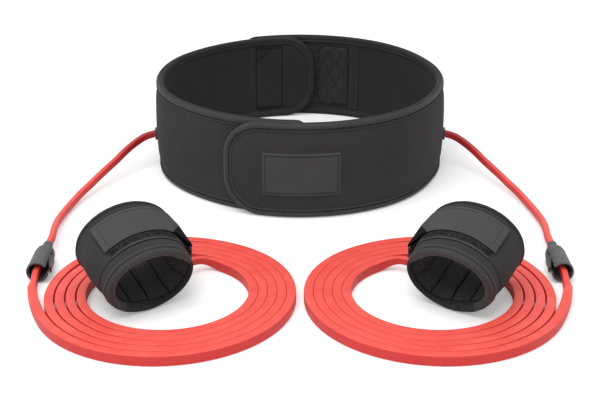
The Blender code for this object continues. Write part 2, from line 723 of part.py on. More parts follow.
def strip_along(edges, thickness, front, back):
    # A flat strip of even thickness. Each of its two edges follows a path seen from the cuff's front.
    faces = []
    for path, along in zip(edges, (front, back)):
        corners = []
        for k, point in enumerate(path):
            way = Vector((0.0, 0.0))
            if k > 0:
                way += (point - path[k - 1]).normalized()
            if k < len(path) - 1:
                way += (path[k + 1] - point).normalized()
            way.normalize()
            side = Vector((-way.y, way.x)) * thickness / 2
            corners.append([Vector((end.x, along, end.y)) for end in (point + side, point - side)])
        faces.append(corners)
    return loft([[near[0], far[0], far[1], near[1]] for near, far in zip(*faces)])


def over_shell(from_at, to_at, steps, out, front, back):
    # The two edges of a strip that lies over the shell between two angles.
    angles = [math.radians(from_at + (to_at - from_at) * k / steps) for k in range(steps + 1)]
    return [[flat(oval_point(angle, along, out)) for angle in angles] for along in (front, back)]


def wrap(centre, radius, start, sweep, steps=9):
    # Points round a bar, in degrees.
    return [centre + radius * Vector((math.cos(math.radians(start + sweep * k / steps)),
                                      math.sin(math.radians(start + sweep * k / steps))))
            for k in range(steps + 1)]


def hooked(centre, radius, start, way, target):
    # Points round a bar from a start angle to where a straight run to the target leaves it.
    reach = target - centre
    leaves = math.degrees(math.atan2(reach.y, reach.x) - way * math.acos(radius / reach.length))
    sweep = way * ((way * (leaves - start)) % 360.0)
    return wrap(centre, radius, start, sweep)


def wire_ring(low, high, front, back, corner):
    # A closed wire frame: low and high are its bars' middles seen from the front.
    across = high - low
    middle = (low + high) / 2
    outline = rounded_rectangle(across.length, back - front, corner, steps=4)
    way = across.normalized()
    side = Vector((-way.y, way.x))
    centre = Vector((middle.x, (front + back) / 2, middle.y))
    flat_way = Vector((way.x, 0.0, way.y))
    rings = []
    for k, (u, v) in enumerate(outline):
        before = Vector(outline[k - 1])
        after = Vector(outline[(k + 1) % len(outline)])
        tangent = (after - before).normalized()
        outward = Vector((tangent.y, -tangent.x))
        spot = centre + flat_way * u + Vector((0.0, v, 0.0))
        out3 = flat_way * outward.x + Vector((0.0, outward.y, 0.0))
        up3 = Vector((side.x, 0.0, side.y))
        rings.append([spot + out3 * c + up3 * s for c, s in circle(WIRE_RADIUS, 8)])
    return loft(rings, closed=True)


def web_bar_height():
    # Height of the D-ring's bars, which lie on the webbing below the cuff.
    return web_height() + WIRE_RADIUS + WIRE_CLEARANCE + WEB_THICKNESS / 2


def web_seat(degrees):
    # The webbing's middle line where it is sewn to the shell, seen from the cuff's front.
    crown = max(shell_out(along) for along in (WEB_BACK - WEB_WIDTH, WEB_ALONG, WEB_BACK))
    return flat(oval_point(math.radians(degrees), WEB_BACK, crown + GAP + WEB_THICKNESS / 2))


def web_height():
    return web_seat(-90.0).y


def strap_centre(inner):
    # Middle of the strap's thickness above the shell's crown.
    return shell_out(CUFF_LENGTH / 2) + inner


def flat(point):
    return Vector((point.x, point.z))


def build_cuff(layout, finishes):
    place = cuff_to_layout()
    lining_in = -ROLL_TAPE - GAP - SHELL_THICKNESS - GAP - LINING_THICKNESS
    seat = ROLL_TAPE + GAP

    def even(out):
        return lambda angle: out

    ends = [seat, CUFF_LENGTH - seat]
    shell_inner = -ROLL_TAPE - GAP - SHELL_THICKNESS
    rims = [ROLL_LEG + GAP, CUFF_LENGTH - ROLL_LEG - GAP]
    crowned = [rims[0] + (rims[1] - rims[0]) * share for share in (0.0, 0.17, 0.4, 0.6, 0.83, 1.0)]
    stations = [(along, even(shell_out(along))) for along in [ends[0]] + crowned + [ends[1]]]
    stations += [(ends[1], even(shell_inner)), (ends[0], even(shell_inner))]
    shell = loft(oval_rings(stations, CUFF_SEGMENTS), closed=True)

    def puffed(share):
        def out_at(angle):
            swell = abs(math.sin(LINING_CHANNELS * (angle - CHANNEL_START) / 2)) ** CHANNEL_POWER
            return lining_in - share * LINING_PUFF * swell
        return out_at

    lining_outer = shell_inner - GAP
    stations = [(ends[0], even(lining_outer)), (ends[1], even(lining_outer)),
                (ends[1], even(lining_in)), (ends[1] - ROLL_LEG, even(lining_in)),
                (ends[1] - LINING_HEM, puffed(1.0)), (ends[0] + LINING_HEM, puffed(1.0)),
                (ends[0] + ROLL_LEG, even(lining_in)), (ends[0], even(lining_in))]
    lining = loft(oval_rings(stations, CUFF_SEGMENTS), closed=True)

    deep = lining_in - GAP
    roll = [(ROLL_TAPE, 0.0), (ROLL_LEG, 0.0), (ROLL_LEG, -ROLL_TAPE), (ROLL_TAPE, -ROLL_TAPE),
            (ROLL_TAPE, deep), (ROLL_LEG, deep), (ROLL_LEG, deep - ROLL_TAPE),
            (ROLL_TAPE, deep - ROLL_TAPE), (0.0, deep), (0.0, -ROLL_TAPE)]
    front_roll = loft(oval_rings([(along, even(out)) for along, out in roll], CUFF_SEGMENTS), closed=True)
    back_roll = loft(oval_rings([(CUFF_LENGTH - along, even(out)) for along, out in roll], CUFF_SEGMENTS),
                     closed=True)

    # The strap wraps the ring's upper bar and lies over the shell; the base holds the lower bar.
    # The ring points at the shell's side STRAP_RING_TURN degrees below its upper bar.
    strap_back = CUFF_LENGTH - STRAP_BACK_MARGIN
    middle = (STRAP_FRONT + strap_back) / 2
    hook_mid = strap_centre(GAP + STRAP_HOOK_THICKNESS / 2)
    strap_mid = strap_centre(2 * GAP + STRAP_HOOK_THICKNESS + STRAP_THICKNESS / 2)
    base_mid = strap_centre(GAP + STRAP_THICKNESS / 2)
    beside = [flat(oval_point(math.radians(STRAP_RING_AT - turn), middle, strap_centre(STRAP_RING_STAND)))
              for turn in (0.0, STRAP_RING_TURN)]
    upper = beside[0]
    lower = upper + (beside[1] - upper).normalized() * STRAP_RING_SPAN
    hold = WIRE_RADIUS + WIRE_CLEARANCE + STRAP_THICKNESS / 2
    over = over_shell(STRAP_START_AT, STRAP_END_AT, STRAP_STEPS, strap_mid, STRAP_FRONT, strap_back)
    strap = strip_along([hooked(upper, hold, FOLD_END_AT, 1.0, edge[0]) + edge for edge in over],
                        STRAP_THICKNESS, STRAP_FRONT, strap_back)
    under = over_shell(STRAP_BASE_AT, STRAP_BASE_END_AT, STRAP_BASE_STEPS, base_mid, STRAP_FRONT,
                       strap_back)
    strap_base = strip_along([hooked(lower, hold, FOLD_END_AT, -1.0, edge[0]) + edge for edge in under],
                             STRAP_THICKNESS, STRAP_FRONT, strap_back)
    hook_back = CUFF_LENGTH - STRAP_HOOK_BACK_MARGIN
    hook = strip_along(over_shell(STRAP_HOOK_FROM, STRAP_HOOK_TO, STRAP_STEPS, hook_mid,
                                  STRAP_HOOK_FRONT, hook_back),
                       STRAP_HOOK_THICKNESS, STRAP_HOOK_FRONT, hook_back)
    side_room = WIRE_RADIUS + RING_SIDE_ROOM
    strap_ring = wire_ring(lower, upper, STRAP_FRONT - side_room, strap_back + side_room,
                           STRAP_RING_CORNER)

    # Webbing sewn below the cuff, folded round the D-ring's near bar.
    web_front = WEB_ALONG - WEB_WIDTH / 2
    web_back = WEB_ALONG + WEB_WIDTH / 2
    near_bar = Vector((D_RING_X, web_bar_height()))
    far_bar = Vector((D_RING_X + D_RING_SPAN, web_bar_height()))
    web_hold = WIRE_RADIUS + WIRE_CLEARANCE + WEB_THICKNESS / 2
    web_path = [web_seat(WEB_SEWN_FROM + (-90.0 - WEB_SEWN_FROM) * k / WEB_SEWN_STEPS)
                for k in range(WEB_SEWN_STEPS + 1)]
    web_path += wrap(near_bar, web_hold, -90.0, 270.0)
    web = strip_along([web_path, web_path], WEB_THICKNESS, web_front, web_back)
    d_ring = wire_ring(near_bar, far_bar, web_front - side_room, web_back + side_room, D_RING_CORNER)

    spine = place @ Vector((far_bar.x, WEB_ALONG, far_bar.y))
    near_axis = place @ Vector((near_bar.x, WEB_ALONG, near_bar.y))
    strap_axis = place @ Vector((upper.x, middle, upper.y))
    half = EYE_RADIUS * EYE_TAPER
    outline = [far_bar + Vector((EYE_LENGTH, -half)), far_bar + Vector((EYE_LENGTH, half))]
    outline += wrap(far_bar, EYE_RADIUS, 90.0, 180.0, 8)
    rings = [[Vector((point.x, along, point.y)) for point in outline]
             for along in (WEB_ALONG - EYE_WIDTH / 2, WEB_ALONG + EYE_WIDTH / 2)]
    eye_mesh = in_layout(loft(rings), place)
    eye = object_from(eye_mesh, LEFT + "band_end_eye", finishes["lock_dark"], layout, spine)
    bore_rings = [[Vector((far_bar.x + u, along, far_bar.y + v))
                   for u, v in circle(WIRE_RADIUS + EYE_CLEARANCE, 12)]
                  for along in (WEB_ALONG - EYE_WIDTH, WEB_ALONG + EYE_WIDTH)]
    bore = object_from(in_layout(loft(bore_rings), place), "bore", finishes["lock"], layout)
    cut(eye, bore, LEFT + "eye_bore_cutter")

    pieces = [(shell, "cuff_shell", "jersey", near_axis), (lining, "cuff_lining", "lining", near_axis),
              (front_roll, "cuff_front_binding", "binding", near_axis),
              (back_roll, "cuff_back_binding", "binding", near_axis),
              (strap_base, "cuff_strap_base", "webbing", near_axis),
              (strap_ring, "cuff_strap_ring", "lock_dark", near_axis),
              (web, "cuff_web_loop", "webbing", near_axis), (d_ring, "cuff_d_ring", "steel", spine),
              (strap, "cuff_strap", "strap", strap_axis), (hook, "cuff_strap_hook", "hook", strap_axis)]
    for bm, name, finish, origin in pieces:
        object_from(in_layout(bm, place), LEFT + name, finishes[finish], layout, origin)
    return spine, near_axis, strap_axis, place.to_3x3() @ Vector((0.0, 1.0, 0.0))


# Right side and the part's own origin

def mirror_to_right(layout):
    # Copies each finished piece of the left side across the belt's middle plane.
    bpy.context.view_layer.update()
    graph = bpy.context.evaluated_depsgraph_get()
    left_items = [item for item in bpy.data.objects
                  if item.name.startswith(LEFT) and not item.name.startswith(LEFT + "panel")
                  and not item.hide_render]
    flip = Matrix.Scale(-1.0, 4, Vector((1.0, 0.0, 0.0)))
    for item in left_items:
        mesh = bpy.data.meshes.new_from_object(item.evaluated_get(graph))
        mesh.transform(flip)
        mesh.flip_normals()
        twin_name = RIGHT + item.name[len(LEFT):]
        mesh.name = twin_name
        twin = bpy.data.objects.new(twin_name, mesh)
        bpy.context.collection.objects.link(twin)
        twin.parent = layout
        twin.location = (-item.location.x, item.location.y, item.location.z)


def on_the_cord(name):
    return "_band_run" in name or "_band_coil" in name or "_band_end" in name or "_lock_" in name


def set_origin(layout):
    # Puts the middle of the belt and cuffs, at floor height, on the world's origin.
    bpy.context.view_layer.update()
    corners = [item.matrix_world @ vertex.co for item in bpy.data.objects
               if item.type == 'MESH' and not item.hide_render and not on_the_cord(item.name)
               for vertex in item.data.vertices]
    low = Vector([min(corner[axis] for corner in corners) for axis in range(3)])
    high = Vector([max(corner[axis] for corner in corners) for axis in range(3)])
    layout.location = (-(low.x + high.x) / 2, -(low.y + high.y) / 2, -low.z)
    return layout.location.copy()


def main():
    clear_objects()
    finishes = {
        "neoprene": material("charcoal neoprene", (0.036, 0.034, 0.037), 0.85),
        "binding": material("binding tape", (0.046, 0.045, 0.048), 0.80),
        "hook": material("hook tape", (0.008, 0.008, 0.008), 0.90),
        "loop": material("loop fabric", (0.026, 0.026, 0.027), 0.95),
        "label": material("woven label", (0.062, 0.062, 0.070), 0.75),
        "band": material("coral rubber", (0.91, 0.13, 0.10), 0.45),
        "lock": material("grey plastic", (0.10, 0.10, 0.105), 0.50),
        "lock_dark": material("black plastic", (0.030, 0.027, 0.029), 0.50),
        "collar": material("soft grey rubber", (0.075, 0.073, 0.080), 0.65),
        "steel": material("blackened steel", (0.09, 0.09, 0.09), 0.35, 1.0),
        "jersey": material("charcoal jersey", (0.042, 0.042, 0.045), 0.90),
        "lining": material("black lining", (0.014, 0.013, 0.014), 0.90),
        "webbing": material("black webbing", (0.014, 0.014, 0.014), 0.80),
        "strap": material("strap fabric", (0.064, 0.062, 0.062), 0.90),
    }
    layout = bpy.data.objects.new("layout", None)
    bpy.context.collection.objects.link(layout)
    front_axis, back_axis = build_belt(layout, finishes)
    build_socket(layout, finishes["lock_dark"])
    build_band(layout, finishes["band"])
    lock_origin, pin_at = build_lock(layout, finishes)
    eye_axis, ring_axis, strap_axis, cuff_way = build_cuff(layout, finishes)
    mirror_to_right(layout)
    shift = set_origin(layout)
    print("layout shift", tuple(round(value, 5) for value in shift))
    for label, spot in (("front flap hinge", front_axis), ("back flap hinge", back_axis),
                        ("left lock", lock_origin), ("left lock pin", pin_at),
                        ("left eye", eye_axis), ("left near bar", ring_axis),
                        ("left strap ring bar", strap_axis)):
        print(label, tuple(round(value, 5) for value in spot + shift))
    print("left cuff direction", tuple(round(value, 5) for value in cuff_way))


main()
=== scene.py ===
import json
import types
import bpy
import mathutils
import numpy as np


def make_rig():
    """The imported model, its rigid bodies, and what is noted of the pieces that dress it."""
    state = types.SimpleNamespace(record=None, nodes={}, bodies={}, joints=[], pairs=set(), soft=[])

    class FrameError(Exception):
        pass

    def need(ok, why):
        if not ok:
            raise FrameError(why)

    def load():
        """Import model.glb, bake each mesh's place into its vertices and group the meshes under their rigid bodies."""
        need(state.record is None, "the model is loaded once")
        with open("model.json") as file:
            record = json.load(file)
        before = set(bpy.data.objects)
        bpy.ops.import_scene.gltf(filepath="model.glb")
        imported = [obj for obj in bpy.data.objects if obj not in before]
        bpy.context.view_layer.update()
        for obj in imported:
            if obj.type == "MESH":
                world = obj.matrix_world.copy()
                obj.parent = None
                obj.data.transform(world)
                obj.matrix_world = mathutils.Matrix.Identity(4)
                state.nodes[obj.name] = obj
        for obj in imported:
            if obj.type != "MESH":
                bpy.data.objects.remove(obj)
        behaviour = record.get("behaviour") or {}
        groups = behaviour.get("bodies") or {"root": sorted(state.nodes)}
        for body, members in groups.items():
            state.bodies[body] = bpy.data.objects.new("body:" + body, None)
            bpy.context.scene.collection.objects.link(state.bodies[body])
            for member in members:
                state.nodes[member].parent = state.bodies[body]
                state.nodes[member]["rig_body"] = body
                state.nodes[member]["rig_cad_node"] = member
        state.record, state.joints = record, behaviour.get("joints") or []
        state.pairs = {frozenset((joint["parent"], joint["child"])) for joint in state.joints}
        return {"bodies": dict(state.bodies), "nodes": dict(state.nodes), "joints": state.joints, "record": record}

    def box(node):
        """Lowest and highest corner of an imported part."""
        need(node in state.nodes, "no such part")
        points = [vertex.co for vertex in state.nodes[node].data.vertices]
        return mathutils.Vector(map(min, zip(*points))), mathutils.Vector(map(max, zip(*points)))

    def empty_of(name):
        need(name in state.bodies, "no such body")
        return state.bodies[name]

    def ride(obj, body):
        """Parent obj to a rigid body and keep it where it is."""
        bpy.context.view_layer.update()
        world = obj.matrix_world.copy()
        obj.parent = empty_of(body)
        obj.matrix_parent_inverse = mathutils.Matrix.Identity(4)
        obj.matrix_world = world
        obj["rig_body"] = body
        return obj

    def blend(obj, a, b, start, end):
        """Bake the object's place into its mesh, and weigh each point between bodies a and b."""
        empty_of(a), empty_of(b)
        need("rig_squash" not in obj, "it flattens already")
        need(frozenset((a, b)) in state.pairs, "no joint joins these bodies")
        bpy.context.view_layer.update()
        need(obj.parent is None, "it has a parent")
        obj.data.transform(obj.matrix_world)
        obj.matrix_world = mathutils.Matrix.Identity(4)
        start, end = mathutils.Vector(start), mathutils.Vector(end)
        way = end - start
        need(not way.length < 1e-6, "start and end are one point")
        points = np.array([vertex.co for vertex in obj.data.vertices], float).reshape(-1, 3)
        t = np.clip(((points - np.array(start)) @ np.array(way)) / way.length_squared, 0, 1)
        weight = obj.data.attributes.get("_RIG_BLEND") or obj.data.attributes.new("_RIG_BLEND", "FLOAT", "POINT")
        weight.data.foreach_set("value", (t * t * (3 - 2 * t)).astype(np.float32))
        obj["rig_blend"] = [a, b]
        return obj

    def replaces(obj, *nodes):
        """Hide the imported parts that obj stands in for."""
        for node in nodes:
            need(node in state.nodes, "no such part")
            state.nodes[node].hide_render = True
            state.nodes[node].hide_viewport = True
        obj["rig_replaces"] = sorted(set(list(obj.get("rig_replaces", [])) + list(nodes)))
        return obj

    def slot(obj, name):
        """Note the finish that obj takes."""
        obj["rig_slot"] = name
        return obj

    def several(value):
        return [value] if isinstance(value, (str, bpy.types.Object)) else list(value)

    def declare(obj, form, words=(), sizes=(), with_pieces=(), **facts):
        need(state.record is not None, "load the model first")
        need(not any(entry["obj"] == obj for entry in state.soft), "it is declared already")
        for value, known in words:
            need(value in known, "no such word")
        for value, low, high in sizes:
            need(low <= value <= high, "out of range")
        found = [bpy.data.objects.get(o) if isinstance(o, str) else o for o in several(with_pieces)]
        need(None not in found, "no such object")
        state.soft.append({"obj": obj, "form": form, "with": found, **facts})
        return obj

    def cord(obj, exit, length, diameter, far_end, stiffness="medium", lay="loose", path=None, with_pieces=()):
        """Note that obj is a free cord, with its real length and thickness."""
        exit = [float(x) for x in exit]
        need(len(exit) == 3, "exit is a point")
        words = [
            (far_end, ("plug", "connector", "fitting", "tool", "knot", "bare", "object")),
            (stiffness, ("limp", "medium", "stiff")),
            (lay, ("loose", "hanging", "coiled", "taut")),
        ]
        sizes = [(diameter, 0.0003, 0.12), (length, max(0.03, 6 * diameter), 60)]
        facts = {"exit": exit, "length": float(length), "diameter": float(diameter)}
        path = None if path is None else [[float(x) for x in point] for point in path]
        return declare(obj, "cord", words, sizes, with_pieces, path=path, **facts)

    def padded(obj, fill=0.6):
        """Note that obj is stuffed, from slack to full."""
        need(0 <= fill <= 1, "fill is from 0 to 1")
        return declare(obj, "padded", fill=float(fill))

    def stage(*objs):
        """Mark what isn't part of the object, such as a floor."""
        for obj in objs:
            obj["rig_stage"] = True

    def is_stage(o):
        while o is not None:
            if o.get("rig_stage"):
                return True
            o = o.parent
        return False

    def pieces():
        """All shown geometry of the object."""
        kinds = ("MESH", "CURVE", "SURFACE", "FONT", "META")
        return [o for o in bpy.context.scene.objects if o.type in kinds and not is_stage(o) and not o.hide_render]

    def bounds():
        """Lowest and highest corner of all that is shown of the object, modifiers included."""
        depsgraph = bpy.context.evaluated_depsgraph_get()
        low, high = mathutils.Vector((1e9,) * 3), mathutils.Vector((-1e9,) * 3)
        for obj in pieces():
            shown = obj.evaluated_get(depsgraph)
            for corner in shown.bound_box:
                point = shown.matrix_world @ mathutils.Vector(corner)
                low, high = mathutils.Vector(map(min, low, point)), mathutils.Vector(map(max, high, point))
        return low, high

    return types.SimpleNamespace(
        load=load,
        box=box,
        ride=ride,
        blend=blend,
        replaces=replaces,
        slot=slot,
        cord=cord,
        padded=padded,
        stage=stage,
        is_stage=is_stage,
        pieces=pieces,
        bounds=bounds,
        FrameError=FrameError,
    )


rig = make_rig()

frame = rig.load()

import json
import math

import bmesh
import bpy
from mathutils import Matrix, Vector, noise

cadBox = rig.bounds()
print("frame loaded:", len(frame["nodes"]), "nodes")

# The left side is drawn, and the right side is its mirror image.
sides = {"left": 1.0, "right": -1.0}

# The layout's origin is the middle of the belt, seen from above.
beltMiddle = Vector((0.0, (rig.box("front_flap_binding")[0].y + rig.box("right_panel_binding")[1].y) / 2, 0.0))


# Small helpers
def linkObject(name, data):
    made = bpy.data.objects.new(name, data)
    bpy.context.scene.collection.objects.link(made)
    return made


def clamped(value):
    return min(max(value, 0.0), 1.0)


def smoothStep(value):
    held = clamped(value)
    return held * held * (3.0 - 2.0 * held)


def easedShare(share):
    # slow at both ends, so that rows lie closer there
    return 0.5 - 0.5 * math.cos(math.pi * share)


def between(low, high, share):
    return low + (high - low) * share


def evenly(start, stop, steps):
    return [start + (stop - start) * k / steps for k in range(steps + 1)]


def fullTurn(count):
    return [2 * math.pi * k / count for k in range(count)]


def closeRows(middle, wide):
    # rows that follow a sewn line's section
    return [middle + wide * k * 0.6 for k in range(-3, 4)]


def onCircle(middle, radius, degrees):
    angle = math.radians(degrees)
    return middle[0] + radius * math.cos(angle), middle[1] + radius * math.sin(angle)


def beltRay(theta):
    return Vector((math.cos(theta), math.sin(theta), 0.0))


def ripple(x, y, size, seed):
    # soft unevenness from -1 to 1, whose lumps are about that size in metres
    return noise.noise(Vector((x / size, y / size, seed)))


def toSide(point, side):
    # from the drawn left side's layout to the world
    return Vector((point.x * sides[side], point.y, point.z)) + beltMiddle


def distances(points):
    # how far along a line of points each one lies
    run = [0.0]
    for near, far in zip(points, points[1:]):
        run.append(run[-1] + (far - near).length)
    return run


def addMesh(name, vertices, faces, uvs):
    # uvs holds one place per face corner, in metres along and across the cloth
    mesh = bpy.data.meshes.new(name)
    mesh.from_pydata([tuple(point) for point in vertices], [], faces)
    layer = mesh.uv_layers.new(name="cloth")
    layer.data.foreach_set("uv", [value for corner in uvs for value in corner])
    bm = bmesh.new()
    bm.from_mesh(mesh)
    bmesh.ops.recalc_face_normals(bm, faces=bm.faces)
    bm.to_mesh(mesh)
    bm.free()
    mesh.shade_smooth()
    return mesh


def ringMesh(name, rings, closeRun=False):
    # a skin through rings of equally many points, with its own distances as its UV map
    count = len(rings[0])
    middle = rings[len(rings) // 2]
    across = distances(middle + middle[:1])
    along = distances([ring[0] for ring in rings + rings[:1]])
    faces = []
    uvs = []
    for i in range(len(rings) if closeRun else len(rings) - 1):
        j = (i + 1) % len(rings)
        for k in range(count):
            m = (k + 1) % count
            faces.append((i * count + k, j * count + k, j * count + m, i * count + m))
            uvs += [(along[i], across[k]), (along[i + 1], across[k]),
                    (along[i + 1], across[k + 1]), (along[i], across[k + 1])]
    if not closeRun:
        last = (len(rings) - 1) * count
        faces += [tuple(range(count)), tuple(range(last, last + count))]
        uvs += [(0.0, 0.0)] * (2 * count)
    return addMesh(name, [point for ring in rings for point in ring], faces, uvs)


def addPiece(name, mesh, material, slot, body=None, replaced=()):
    piece = linkObject(name, mesh)
    piece.data.materials.append(material)
    if body:
        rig.ride(piece, body)
    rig.slot(piece, slot)
    if replaced:
        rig.replaces(piece, *replaced)
    return piece


def addSkin(name, rings, material, slot, body=None, replaced=(), closeRun=False):
    return addPiece(name, ringMesh(name, rings, closeRun), material, slot, body, replaced)


def paintFaces(piece, material, chosen, ringSize):
    # a second material where chosen says so, by the face's row along the rings and place round them
    piece.data.materials.append(material)
    for face in piece.data.polygons:
        if chosen(face.index // ringSize, face.index % ringSize):
            face.material_index = 1


def blendAcross(piece, hinge):
    # the cloth bends over a short zone on both sides of the flap's hinge line
    way = Vector(hinge["way"]).normalized()
    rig.blend(piece, "belt", hinge["body"], start=hinge["place"] - way * hinge["before"],
             end=hinge["place"] + way * hinge["after"])


# a stitch's bead: shares of its length and radius, its sides, and how many faces it has
beadProfile = [(-0.5, 0.3), (-0.32, 0.95), (0.32, 0.95), (0.5, 0.3)]
beadSides = 6
beadFaces = (len(beadProfile) - 1) * beadSides + 2
# how far it stands out of the cloth, as a share of its radius
beadLift = 0.35


def addStitches(name, places, bead, material, slot, body=None):
    # one bead for each stitch, from its middle, its way and the cloth's outward way; bead gives its
    # length and radius
    length, radius = bead
    vertices = []
    faces = []
    for middle, way, outward in places:
        first = len(vertices)
        crossway = way.cross(outward).normalized()
        centre = middle + outward * radius * beadLift
        for along, share in beadProfile:
            for angle in fullTurn(beadSides):
                vertices.append(centre + way * along * length
                                + (crossway * math.cos(angle) + outward * math.sin(angle)) * radius * share)
        last = first + (len(beadProfile) - 1) * beadSides
        for near in range(first, last, beadSides):
            for k in range(beadSides):
                m = (k + 1) % beadSides
                faces.append((near + k, near + beadSides + k, near + beadSides + m, near + m))
        faces += [tuple(range(first, first + beadSides)), tuple(range(last, last + beadSides))]
    uvs = [(vertices[corner].x, vertices[corner].z) for face in faces for corner in face]
    return addPiece(name, addMesh(name, vertices, faces, uvs), material, slot, body)


def stitchesAlong(points, outwards, spacing, close=False):
    # places for stitches at even steps along a line of points
    run = points + [points[0]] if close else points
    facing = outwards + [outwards[0]] if close else outwards
    places = []
    travelled = 0.0
    wanted = spacing / 2
    for k in range(len(run) - 1):
        step = (run[k + 1] - run[k]).length
        while step > 0 and wanted <= travelled + step:
            share = (wanted - travelled) / step
            way = (run[k + 1] - run[k]).normalized()
            outward = facing[k].lerp(facing[k + 1], share).normalized()
            places.append((run[k].lerp(run[k + 1], share), way, outward))
            wanted += spacing
        travelled += step
    return places


def shadeMoulded(mesh, sharpFrom):
    # smooth, but crisp along edges that turn by more than that many degrees
    mesh.shade_smooth()
    mesh.set_sharp_from_angle(angle=math.radians(sharpFrom))
    return mesh


def softenedCopy(node, width, roundFrom=32):
    # the CAD piece's own shape with its sharp edges rounded over, as moulding leaves them
    bm = bmesh.new()
    bm.from_mesh(frame["nodes"][node].data)
    bmesh.ops.remove_doubles(bm, verts=bm.verts, dist=1e-6)
    bmesh.ops.dissolve_limit(bm, angle_limit=math.radians(1.0), verts=bm.verts, edges=bm.edges)
    sharp = [edge for edge in bm.edges
             if len(edge.link_faces) == 2 and edge.calc_face_angle() > math.radians(roundFrom)]
    bmesh.ops.bevel(bm, geom=sharp, offset=width, offset_type="OFFSET", segments=3, profile=0.6,
                    affect="EDGES", clamp_overlap=True)
    bmesh.ops.triangulate(bm, faces=[face for face in bm.faces if len(face.verts) > 4])
    bmesh.ops.recalc_face_normals(bm, faces=bm.faces)
    mesh = bpy.data.meshes.new(node)
    bm.to_mesh(mesh)
    bm.free()
    return shadeMoulded(mesh, 40)


# Camera at the photograph's viewing angle
cameraView = {
    "place": (0.0, -1.12154, 0.4914),
    "pitch": 66.25,          # degrees from straight down
    "lens": 70.98,
    "sensor": 36.0,
}
camera = linkObject("camera", bpy.data.cameras.new("camera"))
camera.data.sensor_width = cameraView["sensor"]
camera.data.lens = cameraView["lens"]
camera.location = cameraView["place"]
camera.rotation_euler = (math.radians(cameraView["pitch"]), 0.0, 0.0)
bpy.context.scene.camera = camera
bpy.context.scene.view_settings.view_transform = "Standard"
print("camera placed")


# Materials
def linearColour(code):
    # an sRGB hex value as the linear colour that the shader takes
    parts = [int(code[k:k + 2], 16) / 255 for k in (1, 3, 5)]
    return tuple(part / 12.92 if part <= 0.04045 else ((part + 0.055) / 1.055) ** 2.4
                 for part in parts) + (1.0,)


def addNode(tree, kind, settings, inputs):
    # a socket among the inputs is linked, and any other value is written
    node = tree.nodes.new("ShaderNode" + kind)
    for name, value in settings.items():
        setattr(node, name, value)
    for name, value in inputs.items():
        if isinstance(value, bpy.types.NodeSocket):
            tree.links.new(value, node.inputs[name])
        else:
            node.inputs[name].default_value = value
    return node.outputs


def mapRange(tree, value, low, high, toLow=0.0, toHigh=1.0, curve="LINEAR"):
    return addNode(tree, "MapRange", {"interpolation_type": curve},
                   {"Value": value, "From Min": low, "From Max": high, "To Min": toLow, "To Max": toHigh})[0]


def noiseField(tree, place, size, detail, roughness=0.5):
    # soft spots of about that size in metres
    return addNode(tree, "TexNoise", {}, {"Vector": place, "Scale": 1.0 / size, "Detail": detail,
                                          "Roughness": roughness})["Fac"]


def mathNode(tree, operation, values, clamp=False):
    return addNode(tree, "Math", {"operation": operation, "use_clamp": clamp}, dict(enumerate(values)))[0]


def mixColours(tree, share, first, second):
    # each colour is a hex value or another node's socket
    pair = [linearColour(colour) if isinstance(colour, str) else colour for colour in (first, second)]
    return addNode(tree, "Mix", {"data_type": "RGBA"}, {0: share, 6: pair[0], 7: pair[1]})[2]


def startMaterial(name, values):
    material = bpy.data.materials.new(name)
    material.use_nodes = True
    shader = material.node_tree.nodes["Principled BSDF"]
    for socket, value in values.items():
        shader.inputs[socket].default_value = value
    return material, material.node_tree


def finishMaterial(material, colour, height, strength, relief):
    tree = material.node_tree
    shader = tree.nodes["Principled BSDF"].inputs
    bump = addNode(tree, "Bump", {}, {"Height": height, "Strength": strength, "Distance": relief})["Normal"]
    tree.links.new(colour, shader["Base Color"])
    tree.links.new(bump, shader["Normal"])
    return material


# what a cloth's look holds unless it says otherwise; lengths are in metres
plainCloth = {
    "sheen": 0.14, "gloss": 0.25, "slant": 0.0, "thread": (0.0013, 0.0013), "threadShade": 0.30,
    "speckle": 0.0012, "patch": 0.030, "bump": 0.40, "relief": 0.0003}


def clothMaterial(own):
    # threads in two directions, a speckle of lighter and darker yarn, and broad uneven dye
    look = {**plainCloth, **own}
    material, tree = startMaterial(look["name"], {
        "Roughness": look["roughness"], "Sheen Weight": look["sheen"], "Sheen Roughness": 0.45,
        "Sheen Tint": linearColour(look.get("fuzz", look["light"])), "Specular IOR Level": look["gloss"]})
    place = addNode(tree, "UVMap", {"uv_map": "cloth"}, {})["UV"]
    turned = addNode(tree, "Mapping", {}, {"Vector": place,
                                           "Rotation": (0.0, 0.0, math.radians(look["slant"]))})["Vector"]
    # the wave texture's scale is such that it repeats once in a thread's spacing
    warp, weft = [addNode(tree, "TexWave", {"bands_direction": way},
                          {"Vector": turned, "Scale": math.pi / 10 / spacing, "Distortion": 1.5,
                           "Detail": 1.0, "Detail Scale": 1.5})["Fac"]
                  for way, spacing in zip("XY", look["thread"])]
    weave = mathNode(tree, "MULTIPLY", [warp, weft])
    yarn = noiseField(tree, place, look["speckle"], detail=3.0, roughness=0.65)
    dye = noiseField(tree, place, look["patch"], detail=2.0)
    uneven = mapRange(tree, dye, low=0.3, high=0.7, toLow=-0.18, toHigh=0.18)
    lifted = mathNode(tree, "MULTIPLY_ADD", [weave, look["threadShade"], uneven])
    share = mathNode(tree, "ADD", [mapRange(tree, yarn, low=0.36, high=0.64), lifted], clamp=True)
    colour = mixColours(tree, share, look["dark"], look["light"])
    yarnRise = 0.8
    height = mathNode(tree, "MULTIPLY_ADD", [yarn, yarnRise, weave])
    return finishMaterial(material, colour, height, look["bump"], look["relief"])


